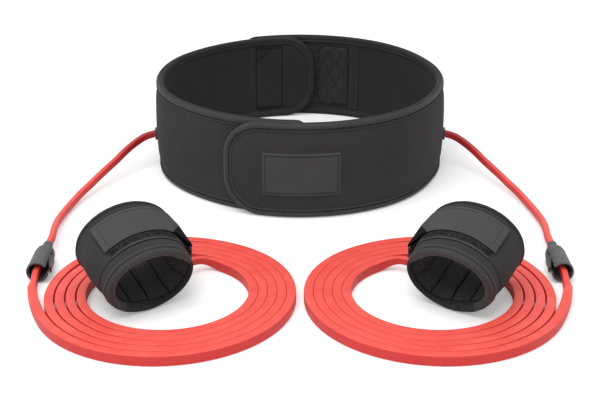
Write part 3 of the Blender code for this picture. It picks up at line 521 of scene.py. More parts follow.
# Neoprene faced with a heathered polyester knit: matt, with a fine light and dark speckle. The real
# stitches are 0.7 mm apart; they are drawn at 1.4 mm so that they show.
knitLook = {
    "name": "heathered knit on neoprene", "dark": "#2B2A2D", "light": "#3B3A3E", "roughness": 0.90,
    "sheen": 0.08, "thread": (0.0014, 0.0014), "threadShade": 0.25, "speckle": 0.0013, "patch": 0.060,
    "bump": 0.35, "relief": 0.0002}
neopreneKnit = clothMaterial(knitLook)

# The belt's inner face: the same knit, painted darker as the shade inside the belt.
shadedInsideKnit = clothMaterial({**knitLook, "name": "knit inside the belt with painted shade", "dark": "#242225",
                            "light": "#302E30"})

# Woven polyester edge tape, folded and pulled tight: smoother and a shade lighter than the knit.
tapeLook = {"thread": (0.0016, 0.0022), "speckle": 0.0014}
edgeTape = clothMaterial({
    **tapeLook, "name": "woven polyester edge tape", "dark": "#2E2E2F", "light": "#434243",
    "roughness": 0.74, "fuzz": "#C4C4C8", "threadShade": 0.35, "patch": 0.040})

# The same tape, near black, for the belt's inside, the cuffs' back openings and the inner half of their front rolls;
# low on the outside of the cuffs' front rolls the same near black is painted shade.
darkTapeAndShade = clothMaterial({
    **tapeLook, "name": "near-black polyester tape with painted shade", "dark": "#1F1F20", "light": "#323133",
    "roughness": 0.80, "sheen": 0.12})

# Bonded spacer jersey over foam: softer and more even than the belt's knit.
cuffJersey = clothMaterial({
    "name": "bonded polyester jersey", "dark": "#2A2A2D", "light": "#3B3B3E", "roughness": 0.88,
    "patch": 0.035})

# Brushed polyester loop lining: short raised fibres take almost all the light.
napLook = {"bump": 0.60, "relief": 0.0006}
brushedLining = clothMaterial({
    **napLook, "name": "brushed polyester lining", "dark": "#2A292B", "light": "#464446",
    "roughness": 0.95, "slant": 30.0, "thread": (0.0016, 0.0022), "threadShade": 0.15,
    "speckle": 0.0013, "patch": 0.020})

# Brushed nylon loop fabric: a matt nap, as dark as the belt's inside.
loopNap = clothMaterial({
    **napLook, "name": "brushed nylon loop", "dark": "#242426", "light": "#38383A", "roughness": 0.94,
    "slant": 20.0, "thread": (0.0020, 0.0020), "threadShade": 0.20, "speckle": 0.0014})

# Nylon hook tape: black, with lighter flecks painted in as the glints of its stiff shiny hooks.
hookNylon = clothMaterial({
    "name": "black nylon hook", "dark": "#020202", "light": "#3A3A3C", "roughness": 0.80, "sheen": 0.02,
    "gloss": 0.08, "thread": (0.0022, 0.0022), "threadShade": 0.60, "speckle": 0.0018, "patch": 0.020,
    "bump": 0.70, "relief": 0.0006})

# Damask patch: close satin weave, smoother and bluer than the knit that it is sewn to.
damaskPatch = clothMaterial({
    "name": "close damask weave", "dark": "#3A3A3D", "light": "#464649", "roughness": 0.72,
    "sheen": 0.20, "thread": (0.0012, 0.0012), "threadShade": 0.35, "bump": 0.30, "relief": 0.0002})

# Double-knit closing strap: the lightest cloth, with a tight grey speckle.
doubleKnit = clothMaterial({
    "name": "double-knit polyester strap", "dark": "#3C3B3D", "light": "#4F4E50", "roughness": 0.86,
    "bump": 0.35})

# Nylon webbing: coarse plain weave with a slight shine on each yarn. Yarns are drawn 2 mm apart.
nylonWebbing = clothMaterial({
    "name": "woven nylon webbing", "dark": "#060607", "light": "#151516", "roughness": 0.75,
    "sheen": 0.02, "gloss": 0.08, "thread": (0.0020, 0.0020), "threadShade": 0.60, "speckle": 0.0020,
    "patch": 0.020, "bump": 0.80, "relief": 0.0007})

# Bonded polyester thread, dark: the twist is too fine to see, so only a sparkle of its shade is left.
threadLook = {"slant": 45.0, "thread": (0.0008, 0.0008), "speckle": 0.0010, "patch": 0.020, "bump": 0.30,
              "relief": 0.0002}
darkThread = clothMaterial({
    **threadLook, "name": "dark bonded thread", "dark": "#0A090A", "light": "#18171A",
    "roughness": 0.80, "sheen": 0.02, "gloss": 0.10})

# The same thread in grey, where it is sewn through near-black tape.
greyThread = clothMaterial({
    **threadLook, "name": "grey bonded thread", "dark": "#3B3B3D", "light": "#565658",
    "roughness": 0.70, "sheen": 0.04})


def rubberMaterial(look):
    # extruded latex: satin skin, faint lines along its length and a bloom of paler powder, with painted light and
    # shade: paler on top, deeper red on the sides, darker near the belt
    material, tree = startMaterial(look["name"], {
        "Roughness": look["roughness"], "Specular IOR Level": 0.40, "Coat Weight": 0.06,
        "Coat Roughness": 0.35, "Subsurface Weight": 0.12, "Subsurface Radius": (1.0, 0.25, 0.2),
        "Subsurface Scale": 0.003})
    place = addNode(tree, "UVMap", {"uv_map": "cloth"}, {})["UV"]
    along = addNode(tree, "SeparateXYZ", {}, {"Vector": place})["X"]
    drawn = addNode(tree, "Mapping", {}, {"Vector": place, "Scale": (0.06, 1.0, 1.0)})["Vector"]
    bloom = noiseField(tree, place, look["bloom"], detail=4.0, roughness=0.6)
    dusted = mixColours(tree, mapRange(tree, bloom, low=0.35, high=0.75), look["deep"], look["pale"])
    # painted light and shade: what faces up takes the paler colours, the sides a deeper red
    facing = addNode(tree, "NewGeometry", {}, {})["Normal"]
    upward = addNode(tree, "SeparateXYZ", {}, {"Vector": facing})["Z"]
    facingShaded = mixColours(tree, mapRange(tree, upward, *look["litFacing"]), look["side"], dusted)
    # painted shade: the band darkens towards its end at the belt, which shades it
    worn = mapRange(tree, along, *look["beltShadeSpan"], curve="SMOOTHSTEP")
    colour = mixColours(tree, worn, look["beltShade"], facingShaded)
    lines = noiseField(tree, drawn, look["line"], detail=2.0)
    bloomRise = 0.4
    height = mathNode(tree, "MULTIPLY_ADD", [bloom, bloomRise, lines])
    return finishMaterial(material, colour, height, strength=0.25, relief=0.0002)


# Natural latex, dyed coral: soft satin, light passes a little way in. What faces up is painted paler as lit, and the
# sides a deeper red as painted shade. Near the belt it is painted darker as the shade that the belt casts on it.
coralLatex = rubberMaterial({
    "name": "dyed natural latex", "deep": "#F04F45", "pale": "#F76257", "beltShade": "#B2282B",
    "side": "#D63432", "litFacing": (0.15, 0.75), "roughness": 0.48, "line": 0.0012, "bloom": 0.018,
    "beltShadeSpan": (0.010, 0.110)})


plainMoulding = {"metallic": 0.0, "grain": 0.0007, "mottle": 0.0040, "bump": 0.25}


def mouldedMaterial(own):
    # fine spark-eroded grain from the mould, with uneven shade and slightly rubbed high spots
    look = {**plainMoulding, **own}
    material, tree = startMaterial(look["name"], {
        "Roughness": look["roughness"], "Metallic": look["metallic"], "Specular IOR Level": look["gloss"]})
    place = addNode(tree, "TexCoord", {}, {})["Object"]
    share = mapRange(tree, noiseField(tree, place, look["mottle"], detail=3.0), low=0.35, high=0.65)
    base = mixColours(tree, share, look["dark"], look["light"])
    edges = addNode(tree, "NewGeometry", {}, {})["Pointiness"]
    worn = mapRange(tree, edges, low=0.52, high=0.60, toHigh=0.35)
    colour = mixColours(tree, worn, base, look["rubbed"])
    grain = noiseField(tree, place, look["grain"], detail=4.0, roughness=0.7)
    return finishMaterial(material, colour, grain, look["bump"], relief=0.0002)


# Moulded nylon, mid grey: fine grain, mottled by glass filler.
greyNylon = mouldedMaterial({
    "name": "moulded grey nylon", "dark": "#4C4C4F", "light": "#5A5A5D", "rubbed": "#6B6B6F",
    "roughness": 0.52, "gloss": 0.40, "bump": 0.35})

# Moulded acetal, near black: a little smoother and waxy.
blackAcetal = mouldedMaterial({
    "name": "moulded black acetal", "dark": "#29252A", "light": "#383237", "rubbed": "#474147",
    "roughness": 0.42, "gloss": 0.45})

# Soft thermoplastic sleeve: matt and even.
softSleeve = mouldedMaterial({
    "name": "soft thermoplastic rubber", "dark": "#4E5050", "light": "#5C5E5E", "rubbed": "#6A6C6C",
    "roughness": 0.62, "gloss": 0.30, "grain": 0.0009, "mottle": 0.0050})

# Black oxide on steel wire: dark, half shiny, with bare steel starting to show where it rubs.
blackSteel = mouldedMaterial({
    "name": "black oxide steel wire", "dark": "#1E1E20", "light": "#2B2B2D", "rubbed": "#6E6C6A",
    "roughness": 0.36, "metallic": 0.6, "gloss": 0.50, "grain": 0.0008, "mottle": 0.0030, "bump": 0.15})
print("materials ready")


# Elastic bands: one continuous strip on each side, from the belt's socket to the eye at the cuff
band = {
    "width": 0.0081, "tall": 0.0094, "rounding": 0.0009, "runWidth": 0.0056, "runTall": 0.0072,
    "runRounding": 0.0015, "cornerSteps": 4, "runStep": 0.004, "easeOver": 0.022, "socketAt": 186.0,
    "socketZ": 0.0370, "socketOut": 0.0066, "socketDepth": 0.0030, "eyeDepth": 0.0006,
    "pointsPerTurn": 72, "length": 2.983,
}
# the strip's own points on the left, from the socket to the lock and from the lock to the coil
runPoints = [(-0.1690, -0.0195, 0.0345), (-0.1785, -0.0275, 0.0305), (-0.1880, -0.0420, 0.0262),
             (-0.1962, -0.0575, 0.0215), (-0.2037, -0.0705, 0.0178), (-0.2109, -0.0840, 0.0143),
             (-0.2173, -0.0980, 0.0113), (-0.2237, -0.1130, 0.0089), (-0.2287, -0.1295, 0.0071),
             (-0.2327, -0.1475, 0.0064), (-0.2353, -0.1670, 0.0069), (-0.2361, -0.1860, 0.0085),
             (-0.2350, -0.2060, 0.0105), (-0.2330, -0.2240, 0.0115), (-0.2330, -0.2400, 0.0115),
             (-0.2330, -0.2560, 0.0115), (-0.2330, -0.2730, 0.0115), (-0.2334, -0.2870, 0.0112),
             (-0.2340, -0.2990, 0.0094), (-0.2336, -0.3085, 0.0066)]
coil = {
    "centre": (-0.1140, -0.3270), "radius": 0.1108, "pitch": 0.0087, "drift": 0.0005, "turns": 4.64,
    "squash": 0.972, "leadOffset": 0.0064, "leadTurns": 0.07, "bulge": 0.0042, "bulgeFrom": 0.66,
    "bulgeTo": 0.99, "tailReach": 1.15, "tailSteps": 14,
}
belt = {
    "radius": 0.1508, "height": 0.100, "halfWall": 0.0023, "layerStep": 0.00385,
    "overlapStarts": 0.35, "overlapFull": 0.85, "bulge": 0.0030, "bulgePower": 0.8,
}
cuff = {
    "place": (-0.1257, -0.3526), "turn": 31.2, "tilt": 17.4, "length": 0.0570, "front": (0.0402, 0.0349),
    "back": (0.0434, 0.0387), "offFloor": 0.0001, "dRingX": 0.0360, "dRingSpan": 0.0105,
    "dRingCorner": 0.0026, "webAlong": 0.0419, "webBack": 0.0489, "webWidth": 0.0140, "webGap": 0.0003,
    "webThickness": 0.0014, "webFrom": -116.0, "webSteps": 8, "barSteps": 24,
    "wire": 0.0012, "wireRoom": 0.00035, "eyeLength": 0.0115,
    "shellRim": 0.0078, "shellOut": -0.0015, "shellCrown": 0.0012,
}


def overlapShare(theta):
    # 1 where the two panels lie over each other, 0 at the belt's sides
    start = belt["overlapStarts"]
    return smoothStep((abs(math.sin(theta)) - start) / (belt["overlapFull"] - start))


def beltPoint(theta, z, layer, out):
    bulge = belt["bulge"] * math.sin(math.pi * clamped(z / belt["height"])) ** belt["bulgePower"]
    radius = belt["radius"] + layer * belt["layerStep"] * overlapShare(theta) + bulge + out
    return beltMiddle + Vector((radius * math.cos(theta), radius * math.sin(theta), z))


def cuffMatrix():
    drop = math.cos(math.radians(cuff["tilt"])) * cuff["front"][1] + cuff["offFloor"]
    return (Matrix.Translation((*cuff["place"], drop)) @ Matrix.Rotation(math.radians(cuff["turn"]), 4, "Z")
            @ Matrix.Rotation(math.radians(cuff["tilt"]), 4, "X"))


def ovalPoint(angle, along, out):
    wide, tall = [between(near, far, along / cuff["length"]) + out
                  for near, far in zip(cuff["front"], cuff["back"])]
    return Vector((wide * math.cos(angle), along, tall * math.sin(angle)))


def shellOut(along):
    # the padded wall's outer face swells between its two rims
    share = clamped((along - cuff["shellRim"]) / (cuff["length"] - 2 * cuff["shellRim"]))
    return cuff["shellOut"] + cuff["shellCrown"] * math.sin(math.pi * share)


def webSeat(degrees):
    # middle of the webbing where it is sewn below the shell
    crown = max(shellOut(cuff["webBack"] - cuff["webWidth"] * share) for share in (0.0, 0.5, 1.0))
    return ovalPoint(math.radians(degrees), cuff["webBack"],
                     crown + cuff["webGap"] + cuff["webThickness"] / 2)


def webBarHeight():
    return webSeat(-90.0).z + cuff["wire"] + cuff["wireRoom"] + cuff["webThickness"] / 2


def smoothRun(points, step):
    # a curve through every point, read off at nearly equal steps
    held = [points[0] * 2 - points[1]] + points + [points[-1] * 2 - points[-2]]
    fine = []
    for a, b, c, d in zip(held, held[1:], held[2:], held[3:]):
        for u in evenly(0.0, 1.0, 12)[:-1]:
            fine.append(0.5 * ((2 * b) + (c - a) * u + (2 * a - 5 * b + 4 * c - d) * u ** 2
                               + (3 * b - a - 3 * c + d) * u ** 3))
    fine.append(points[-1])
    travelled = distances(fine)
    picked = []
    k = 0
    for wanted in evenly(0.0, travelled[-1], round(travelled[-1] / step)):
        while k < len(fine) - 2 and travelled[k + 1] < wanted:
            k += 1
        share = (wanted - travelled[k]) / (travelled[k + 1] - travelled[k])
        picked.append(fine[k].lerp(fine[k + 1], clamped(share)))
    return picked


def coilPoint(turn):
    radius = coil["radius"] - coil["pitch"] * turn
    if turn < coil["leadTurns"]:
        radius += coil["leadOffset"] * (1 - turn / coil["leadTurns"]) ** 2
    if coil["bulgeFrom"] < turn < coil["bulgeTo"]:
        share = (turn - coil["bulgeFrom"]) / (coil["bulgeTo"] - coil["bulgeFrom"])
        radius += coil["bulge"] * math.sin(math.pi * share) ** 2
    angle = math.pi + 2 * math.pi * turn
    return Vector((coil["centre"][0] + coil["drift"] * turn + radius * math.cos(angle),
                   coil["centre"][1] + coil["squash"] * radius * math.sin(angle), band["tall"] / 2))


def bandPath():
    # the strip's middle on the left, and which of its points are the coil's first and last
    outward = beltRay(math.radians(band["socketAt"]))
    mouth = outward * (belt["radius"] + belt["halfWall"]) + Vector((0.0, 0.0, band["socketZ"]))
    start = mouth + outward * band["socketOut"]
    small = 0.001
    firstWay = (coilPoint(small) - coilPoint(0.0)).normalized()
    leadIn = coilPoint(0.0) - firstWay * band["tall"]
    run = smoothRun([start] + [Vector(point) for point in runPoints] + [leadIn], band["runStep"])
    turns = [coilPoint(turn) for turn in evenly(0.0, coil["turns"],
                                                round(coil["turns"] * band["pointsPerTurn"]))]
    lastWay = (turns[-1] - coilPoint(coil["turns"] - small)).normalized()
    eyeX = cuff["dRingX"] + cuff["dRingSpan"] + cuff["eyeLength"]
    tailEnd = cuffMatrix() @ Vector((eyeX - band["eyeDepth"], cuff["webAlong"], webBarHeight()))
    away = cuffMatrix().to_3x3() @ Vector((1.0, 0.0, 0.0))
    tailStart = tailEnd + away * band["tall"]
    reach = (tailStart - turns[-1]).length * coil["tailReach"]
    tail = []
    for u in evenly(0.0, 1.0, coil["tailSteps"])[1:-1]:
        tail.append(turns[-1] * (2 * u ** 3 - 3 * u ** 2 + 1) + lastWay * reach * (u ** 3 - 2 * u ** 2 + u)
                    + tailStart * (3 * u ** 2 - 2 * u ** 3) - away * reach * (u ** 3 - u ** 2))
    points = [start - outward * band["socketDepth"], start] + run[1:]
    return points + turns + tail + [tailStart, tailEnd], len(points), len(points) + len(turns)


def roundedSection(width, tall, rounding, steps):
    points = []
    for side, rise, start in ((1, 1, 0.0), (-1, 1, 90.0), (-1, -1, 180.0), (1, -1, 270.0)):
        middle = (side * (width / 2 - rounding), rise * (tall / 2 - rounding))
        points += [onCircle(middle, rounding, degrees) for degrees in evenly(start, start + 90.0, steps)]
    return points


def stripRings(points, sections):
    # the strip stands on its edge, square to its path
    rings = []
    for k, (point, section) in enumerate(zip(points, sections)):
        ahead = points[min(k + 1, len(points) - 1)] - point
        behind = point - points[max(k - 1, 0)]
        way = (ahead.normalized() + behind.normalized()).normalized()
        side = way.cross(Vector((0.0, 0.0, 1.0))).normalized()
        rise = side.cross(way)
        rings.append([point + side * u + rise * v for u, v in section])
    return rings


def bandSections(path, first, last):
    # the strip is slimmer where it hangs than in the coil, which lies from the first to the last point
    travelled = distances(path)
    sections = []
    for place in travelled:
        away = max(travelled[first] - place, place - travelled[last], 0.0)
        full = 1 - smoothStep(away / band["easeOver"])
        sections.append(roundedSection(between(band["runWidth"], band["width"], full),
                                       between(band["runTall"], band["tall"], full),
                                       between(band["runRounding"], band["rounding"], full),
                                       band["cornerSteps"]))
    return sections


def buildBand(side):
    route, first, last = bandPath()
    path = [toSide(point, side) for point in route]
    strip = addSkin(side + "_band", stripRings(path, bandSections(path, first, last)), coralLatex,
                    "band_rubber", "belt", [side + "_band_run", side + "_band_coil"])
    print(side, "band is %.3f m long" % distances(path)[-1])
    return strip, path


bands = {side: buildBand(side) for side in sides}


# Belt: each panel and its flap are one length of padded wall, bound all round with folded tape
panels = {
    "outer": {"from": 115.0, "to": -118.6, "corners": (0.013, 0.038), "layer": 1.0, "seed": 3.0,
              "creases": (), "nodes": ("right_panel", "front_flap")},
    "inner": {"from": 273.3, "to": 83.0, "corners": (0.013, 0.038), "layer": -1.0, "seed": 8.0,
              "creases": (), "nodes": ("left_panel", "back_flap")},
}
hinges = {
    "outer": {"body": "front_flap", "place": Vector((0.05135, -0.04086, 0.0)), "way": (-0.6, -0.8, 0.0),
              "before": 0.012, "after": 0.009},
    "inner": {"body": "back_flap", "place": Vector((-0.07065, 0.23313, 0.0)), "way": (0.870, 0.492, 0.0),
              "before": 0.012, "after": 0.012},
}
wall = {
    "step": 0.0040, "inset": 0.0030, "rows": 30, "gather": 0.35, "edgeDrop": 0.0009, "edgeOver": 0.006,
    "puff": 0.0012, "puffFrom": 0.0085, "puffOver": 0.0110, "wrinkle": 0.00035, "wrinkleSize": 0.035,
    "wrinkleOver": 0.010, "crease": 0.0007, "creaseWide": 0.0007, "creaseClear": 0.0022,
    "cornerRows": 12,
}
binding = {
    "step": 0.0030, "roll": 0.0006, "uneven": 0.00012, "unevenSize": 0.009, "stitchDepth": 0.0068,
    "stitchOut": 0.0030, "spacing": 0.0030, "bead": (0.0018, 0.00058),
}
# hook and loop between the layers, and the sewn rectangle that shows inside the back flap
closures = {
    "bottom": 0.014, "top": 0.086, "under": 0.0026, "front": (-109.9, -90.5), "back": (99.0, 110.6),
    "nap": 0.0009, "edge": 0.0008, "inset": 0.0012, "low": 0.0115, "high": 0.0885, "rowEase": 0.002,
    "rowGap": 0.002, "slantDown": 0.017, "slantAcross": 0.004, "lift": 0.0001, "spacing": 0.0029,
    "bead": (0.0017, 0.00058),
}


def panelPlace(panel, degrees):
    return abs(math.radians(degrees - panel["from"])) * belt["radius"]


def panelAngle(panel, s):
    way = math.copysign(1.0, panel["to"] - panel["from"])
    return math.radians(panel["from"]) + way * s / belt["radius"]


def panelEnds(panel, s):
    # how far a place lies from both ends, each with the radius of its corners
    return zip((s, panelPlace(panel, panel["to"]) - s), panel["corners"])


# sewn lines pull the inner panel's inner face in, beside both edges of the hooks on its other face
panels["inner"]["creases"] = (panelPlace(panels["inner"], closures["back"][1]) - closures["inset"],
                              panelPlace(panels["inner"], closures["back"][0]) + closures["inset"])


def edgeDepth(panel, s, z):
    # how far a place lies inside the panel's rounded outline
    fromEdge = min(z, belt["height"] - z)
    depth = fromEdge
    for along, corner in panelEnds(panel, s):
        if along < corner and fromEdge < corner:
            depth = min(depth, corner - math.hypot(corner - along, corner - fromEdge))
        else:
            depth = min(depth, along)
    return depth


def freeShare(panel, face, theta):
    # a face that another panel lies against stays flat
    return 1.0 if face == panel["layer"] else 1.0 - overlapShare(theta)


def wallOut(panel, face, s, z):
    # the wall's surface on one face, +1 outside and -1 inside, as a distance from its middle
    depth = edgeDepth(panel, s, z)
    free = freeShare(panel, face, panelAngle(panel, s))
    flat = belt["halfWall"] - wall["edgeDrop"] * (1 - smoothStep(depth / wall["edgeOver"]))
    puff = wall["puff"] * smoothStep((depth - wall["puffFrom"]) / wall["puffOver"])
    uneven = wall["wrinkle"] * ripple(s, z, wall["wrinkleSize"], panel["seed"] + face)
    sewn = 0.0
    if face < 0:
        inRow = (smoothStep((z - closures["low"]) / closures["rowEase"])
                 * smoothStep((closures["high"] - z) / closures["rowEase"]))
        sewn = inRow * wall["crease"] * sum(math.exp(-((s - place) / wall["creaseWide"]) ** 2)
                                            for place in panel["creases"])
    return face * (flat - sewn + free * (puff + uneven * smoothStep((depth - wall["puffFrom"])
                                                                    / wall["wrinkleOver"])))


def columnPlaces(panel):
    # close columns at the rounded ends and at the creases, even ones between
    length = panelPlace(panel, panel["to"])
    start, stop = panel["corners"][0], length - panel["corners"][1]
    places = evenly(start, stop, round((stop - start) / wall["step"]))[1:-1]
    for end, corner in enumerate(panel["corners"]):
        arc = [corner - (corner - wall["inset"]) * math.cos(turn)
               for turn in evenly(0.0, math.pi / 2, wall["cornerRows"])]
        places += arc if end == 0 else [length - place for place in arc]
    for crease in panel["creases"]:
        places = [s for s in places if abs(s - crease) > wall["creaseClear"]]
        places += closeRows(crease, wall["creaseWide"])
    return sorted(places)


def columnLow(panel, s):
    # where the wall's edge lies at this place along it
    for along, corner in panelEnds(panel, s):
        if along < corner:
            return corner - math.sqrt(max((corner - wall["inset"]) ** 2 - (corner - along) ** 2, 0.0))
    return wall["inset"]


def buildWall(kind):
    panel = panels[kind]
    rows = wall["rows"]
    rings = []
    for s in columnPlaces(panel):
        theta = panelAngle(panel, s)
        low = columnLow(panel, s)
        heights = [low + (belt["height"] - 2 * low) * between(k / rows, easedShare(k / rows), wall["gather"])
                   for k in range(rows + 1)]
        rings.append([beltPoint(theta, z, panel["layer"], wallOut(panel, face, s, z))
                      for face, column in ((1.0, heights), (-1.0, heights[::-1])) for z in column])
    piece = addSkin(kind + "_wall", rings, neopreneKnit, "neoprene", replaced=panel["nodes"])
    # the inner face takes the darker knit: painted shade inside the belt
    paintFaces(piece, shadedInsideKnit, lambda row, place: place > rows, 2 * (rows + 1))
    blendAcross(piece, hinges[kind])
    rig.padded(piece, fill=0.8)


def outline(panel):
    # all round the panel: place along, height, and the way inwards from the edge
    length = panelPlace(panel, panel["to"])
    tall = belt["height"]
    near, far = panel["corners"]
    loop = []

    def straight(start, stop, inward):
        count = max(2, round(math.dist(start, stop) / binding["step"]))
        for k in range(count):
            loop.append((between(start[0], stop[0], k / count), between(start[1], stop[1], k / count),
                         *inward))

    def corner(s, z, radius, start):
        count = max(6, round(radius * math.pi / 2 / binding["step"]))
        for k in range(count):
            x, y = onCircle((0.0, 0.0), 1.0, start + 90.0 * k / count)
            loop.append((s + radius * x, z + radius * y, -x, -y))

    straight((near, 0.0), (length - far, 0.0), (0.0, 1.0))
    corner(length - far, far, far, -90.0)
    straight((length, far), (length, tall - far), (-1.0, 0.0))
    corner(length - far, tall - far, far, 0.0)
    straight((length - far, tall), (near, tall), (0.0, -1.0))
    corner(near, tall - near, near, 90.0)
    straight((0.0, tall - near), (0.0, near), (1.0, 0.0))
    corner(near, near, near, 180.0)
    return loop


def bindingSide(free):
    # from the tucked edge of the tape, over the stitch groove and the roll, to the panel's very edge
    roll = binding["roll"] * free
    return [(0.0093, 0.0019), (0.0090, 0.0028), (0.0085, 0.0033), (0.0079, 0.0032), (0.0073, 0.0029),
            (0.0068, 0.0028), (0.0062, 0.0030), (0.0052, 0.0034 + 0.6 * roll), (0.0040, 0.0034 + roll),
            (0.0028, 0.0033 + roll), (0.0016, 0.0028 + 0.7 * roll), (0.0007, 0.0020 + 0.3 * roll),
            (0.0002, 0.0010)]


# where the folded tape's two raw edges meet the wall between them
tuckedEdges = [(0.0080, -0.0012), (0.0080, 0.0012)]


def buildBinding(kind):
    panel = panels[kind]
    rings = []
    rows = {1.0: ([], []), -1.0: ([], [])}
    for s, z, inward, rise in outline(panel):
        theta = panelAngle(panel, s)
        ring = []
        for face in rows:
            half = []
            for depth, out in bindingSide(freeShare(panel, face, theta)):
                uneven = ripple(s + depth, z + 0.3 * face, binding["unevenSize"], panel["seed"])
                half.append((depth, face * (out + binding["uneven"] * uneven)))
            ring += half if face > 0 else half[::-1]
        rings.append([beltPoint(panelAngle(panel, s + inward * depth), z + rise * depth,
                                panel["layer"], out) for depth, out in ring + tuckedEdges])
        depth = binding["stitchDepth"]
        at = panelAngle(panel, s + inward * depth)
        for face, (points, outwards) in rows.items():
            points.append(beltPoint(at, z + rise * depth, panel["layer"], face * binding["stitchOut"]))
            outwards.append(beltRay(at) * face)
    piece = addSkin(kind + "_edge_tape", rings, edgeTape, "binding_tape",
                    replaced=[node + "_binding" for node in panel["nodes"]], closeRun=True)
    # the half of the tape inside the belt is near black, and its stitches are grey
    half = len(bindingSide(1.0))
    paintFaces(piece, darkTapeAndShade, lambda row, place: place >= half - 2, 2 * half + 2)
    blendAcross(piece, hinges[kind])
    outer, inner = [stitchesAlong(points, outwards, binding["spacing"], close=True)
                    for points, outwards in rows.values()]
    stitches = addStitches(kind + "_edge_stitches", outer + inner, binding["bead"], darkThread,
                           "binding_tape")
    paintFaces(stitches, greyThread, lambda row, place: row >= len(outer), beadFaces)
    blendAcross(stitches, hinges[kind])


def addPatch(name, kind, face, area, under, height, step, material, slot, body, node):
    # a thin patch on a wall: under gives its lower side, and height its thickness at a place
    panel = panels[kind]
    start, stop = sorted(panelPlace(panel, area[end]) for end in ("from", "to"))
    low, high = area["bottom"], area["top"]
    rings = []
    for s in evenly(start, stop, max(4, round((stop - start) / step))):
        theta = panelAngle(panel, s)
        column = [(z, under(s, z), height(s, z, min(s - start, stop - s, z - low, high - z)))
                  for z in evenly(low, high, max(4, round((high - low) / step)))]
        rings.append([beltPoint(theta, z, panel["layer"], face * (floor + thickness))
                      for z, floor, thickness in column]
                     + [beltPoint(theta, z, panel["layer"], face * floor)
                        for z, floor, thickness in column[::-1]])
    addSkin(name, rings, material, slot, body, [node])


def sewnPlaces(kind, face, lines, out, spacing, step=0.002):
    # stitches on a panel's face, along lines through places along and up the wall
    panel = panels[kind]
    places = []
    for points in lines:
        spots = []
        outwards = []
        for (s0, z0), (s1, z1) in zip(points, points[1:]):
            count = max(1, round(math.hypot(s1 - s0, z1 - z0) / step))
            for s, z in zip(evenly(s0, s1, count), evenly(z0, z1, count)):
                theta = panelAngle(panel, s)
                spots.append(beltPoint(theta, z, panel["layer"], face * out(s, z)))
                outwards.append(beltRay(theta) * face)
        places += stitchesAlong(spots, outwards, spacing)
    return places


# Label patch on the front flap: bare cloth with a turned edge and one row of stitches
label = {
    "from": -103.3, "to": -75.6, "bottom": 0.0250, "top": 0.0695, "thickness": 0.0011, "thin": 0.0003,
    "turned": 0.0009, "sink": 0.0002, "rim": 0.0018, "rimLift": 0.0004, "rimOver": 0.0007,
    "stitchInset": 0.0027, "groove": 0.00035, "grooveWide": 0.0005, "spacing": 0.0024,
    "bead": (0.0015, 0.00040), "step": 0.0009,
}


def buildLabel():
    def under(s, z):
        return wallOut(panels["outer"], 1.0, s, z) - label["sink"]

    def height(s, z, edge):
        rounded = smoothStep(edge / label["turned"])
        rim = label["rimLift"] * (1 - smoothStep((edge - label["rim"]) / label["rimOver"]))
        groove = label["groove"] * math.exp(-((edge - label["stitchInset"]) / label["grooveWide"]) ** 2)
        return between(label["thin"], label["thickness"], rounded) + rim * rounded - groove

    addPatch("label_cloth", "outer", 1.0, label, under, height, label["step"], damaskPatch, "woven_label",
             "front_flap", "label_patch")
    inset = label["stitchInset"]
    near = panelPlace(panels["outer"], label["to"]) + inset
    far = panelPlace(panels["outer"], label["from"]) - inset
    low, high = label["bottom"] + inset, label["top"] - inset
    places = sewnPlaces("outer", 1.0, [[(near, low), (far, low), (far, high), (near, high), (near, low)]],
                        lambda s, z: under(s, z) + label["thickness"] - label["thin"], label["spacing"])
    addStitches("label_stitches", places, label["bead"], darkThread, "woven_label", "front_flap")


# Quilted loop fabric inside the right panel, and the plain strip that closes its front edge
quilt = {
    "from": 67.8, "to": 111.0, "bottom": 0.014, "top": 0.086, "thickness": 0.00082, "thin": 0.0004,
    "edge": 0.0012, "under": 0.0025, "diamondWide": 0.0158, "diamondTall": 0.0245, "puff": 0.0026,
    "power": 0.25, "border": 0.003, "fadeFrom": 0.030, "fadeOver": 0.008, "step": 0.0009,
    "seamInset": 0.0015, "seamOut": 0.0032, "spacing": 0.0026, "bead": (0.0021, 0.00070),
    "diamonds": 8, "seamSteps": 240,
}
edgeStrip = {
    "from": 63.0, "to": 67.4, "bottom": 0.0093, "top": 0.0907, "thickness": 0.0009, "thin": 0.0002,
    "edge": 0.0010, "step": 0.0010, "seamInset": 0.0013, "seamOut": 0.0033, "seamEnd": 0.001,
    "spacing": 0.0029, "bead": (0.0017, 0.00050),
}


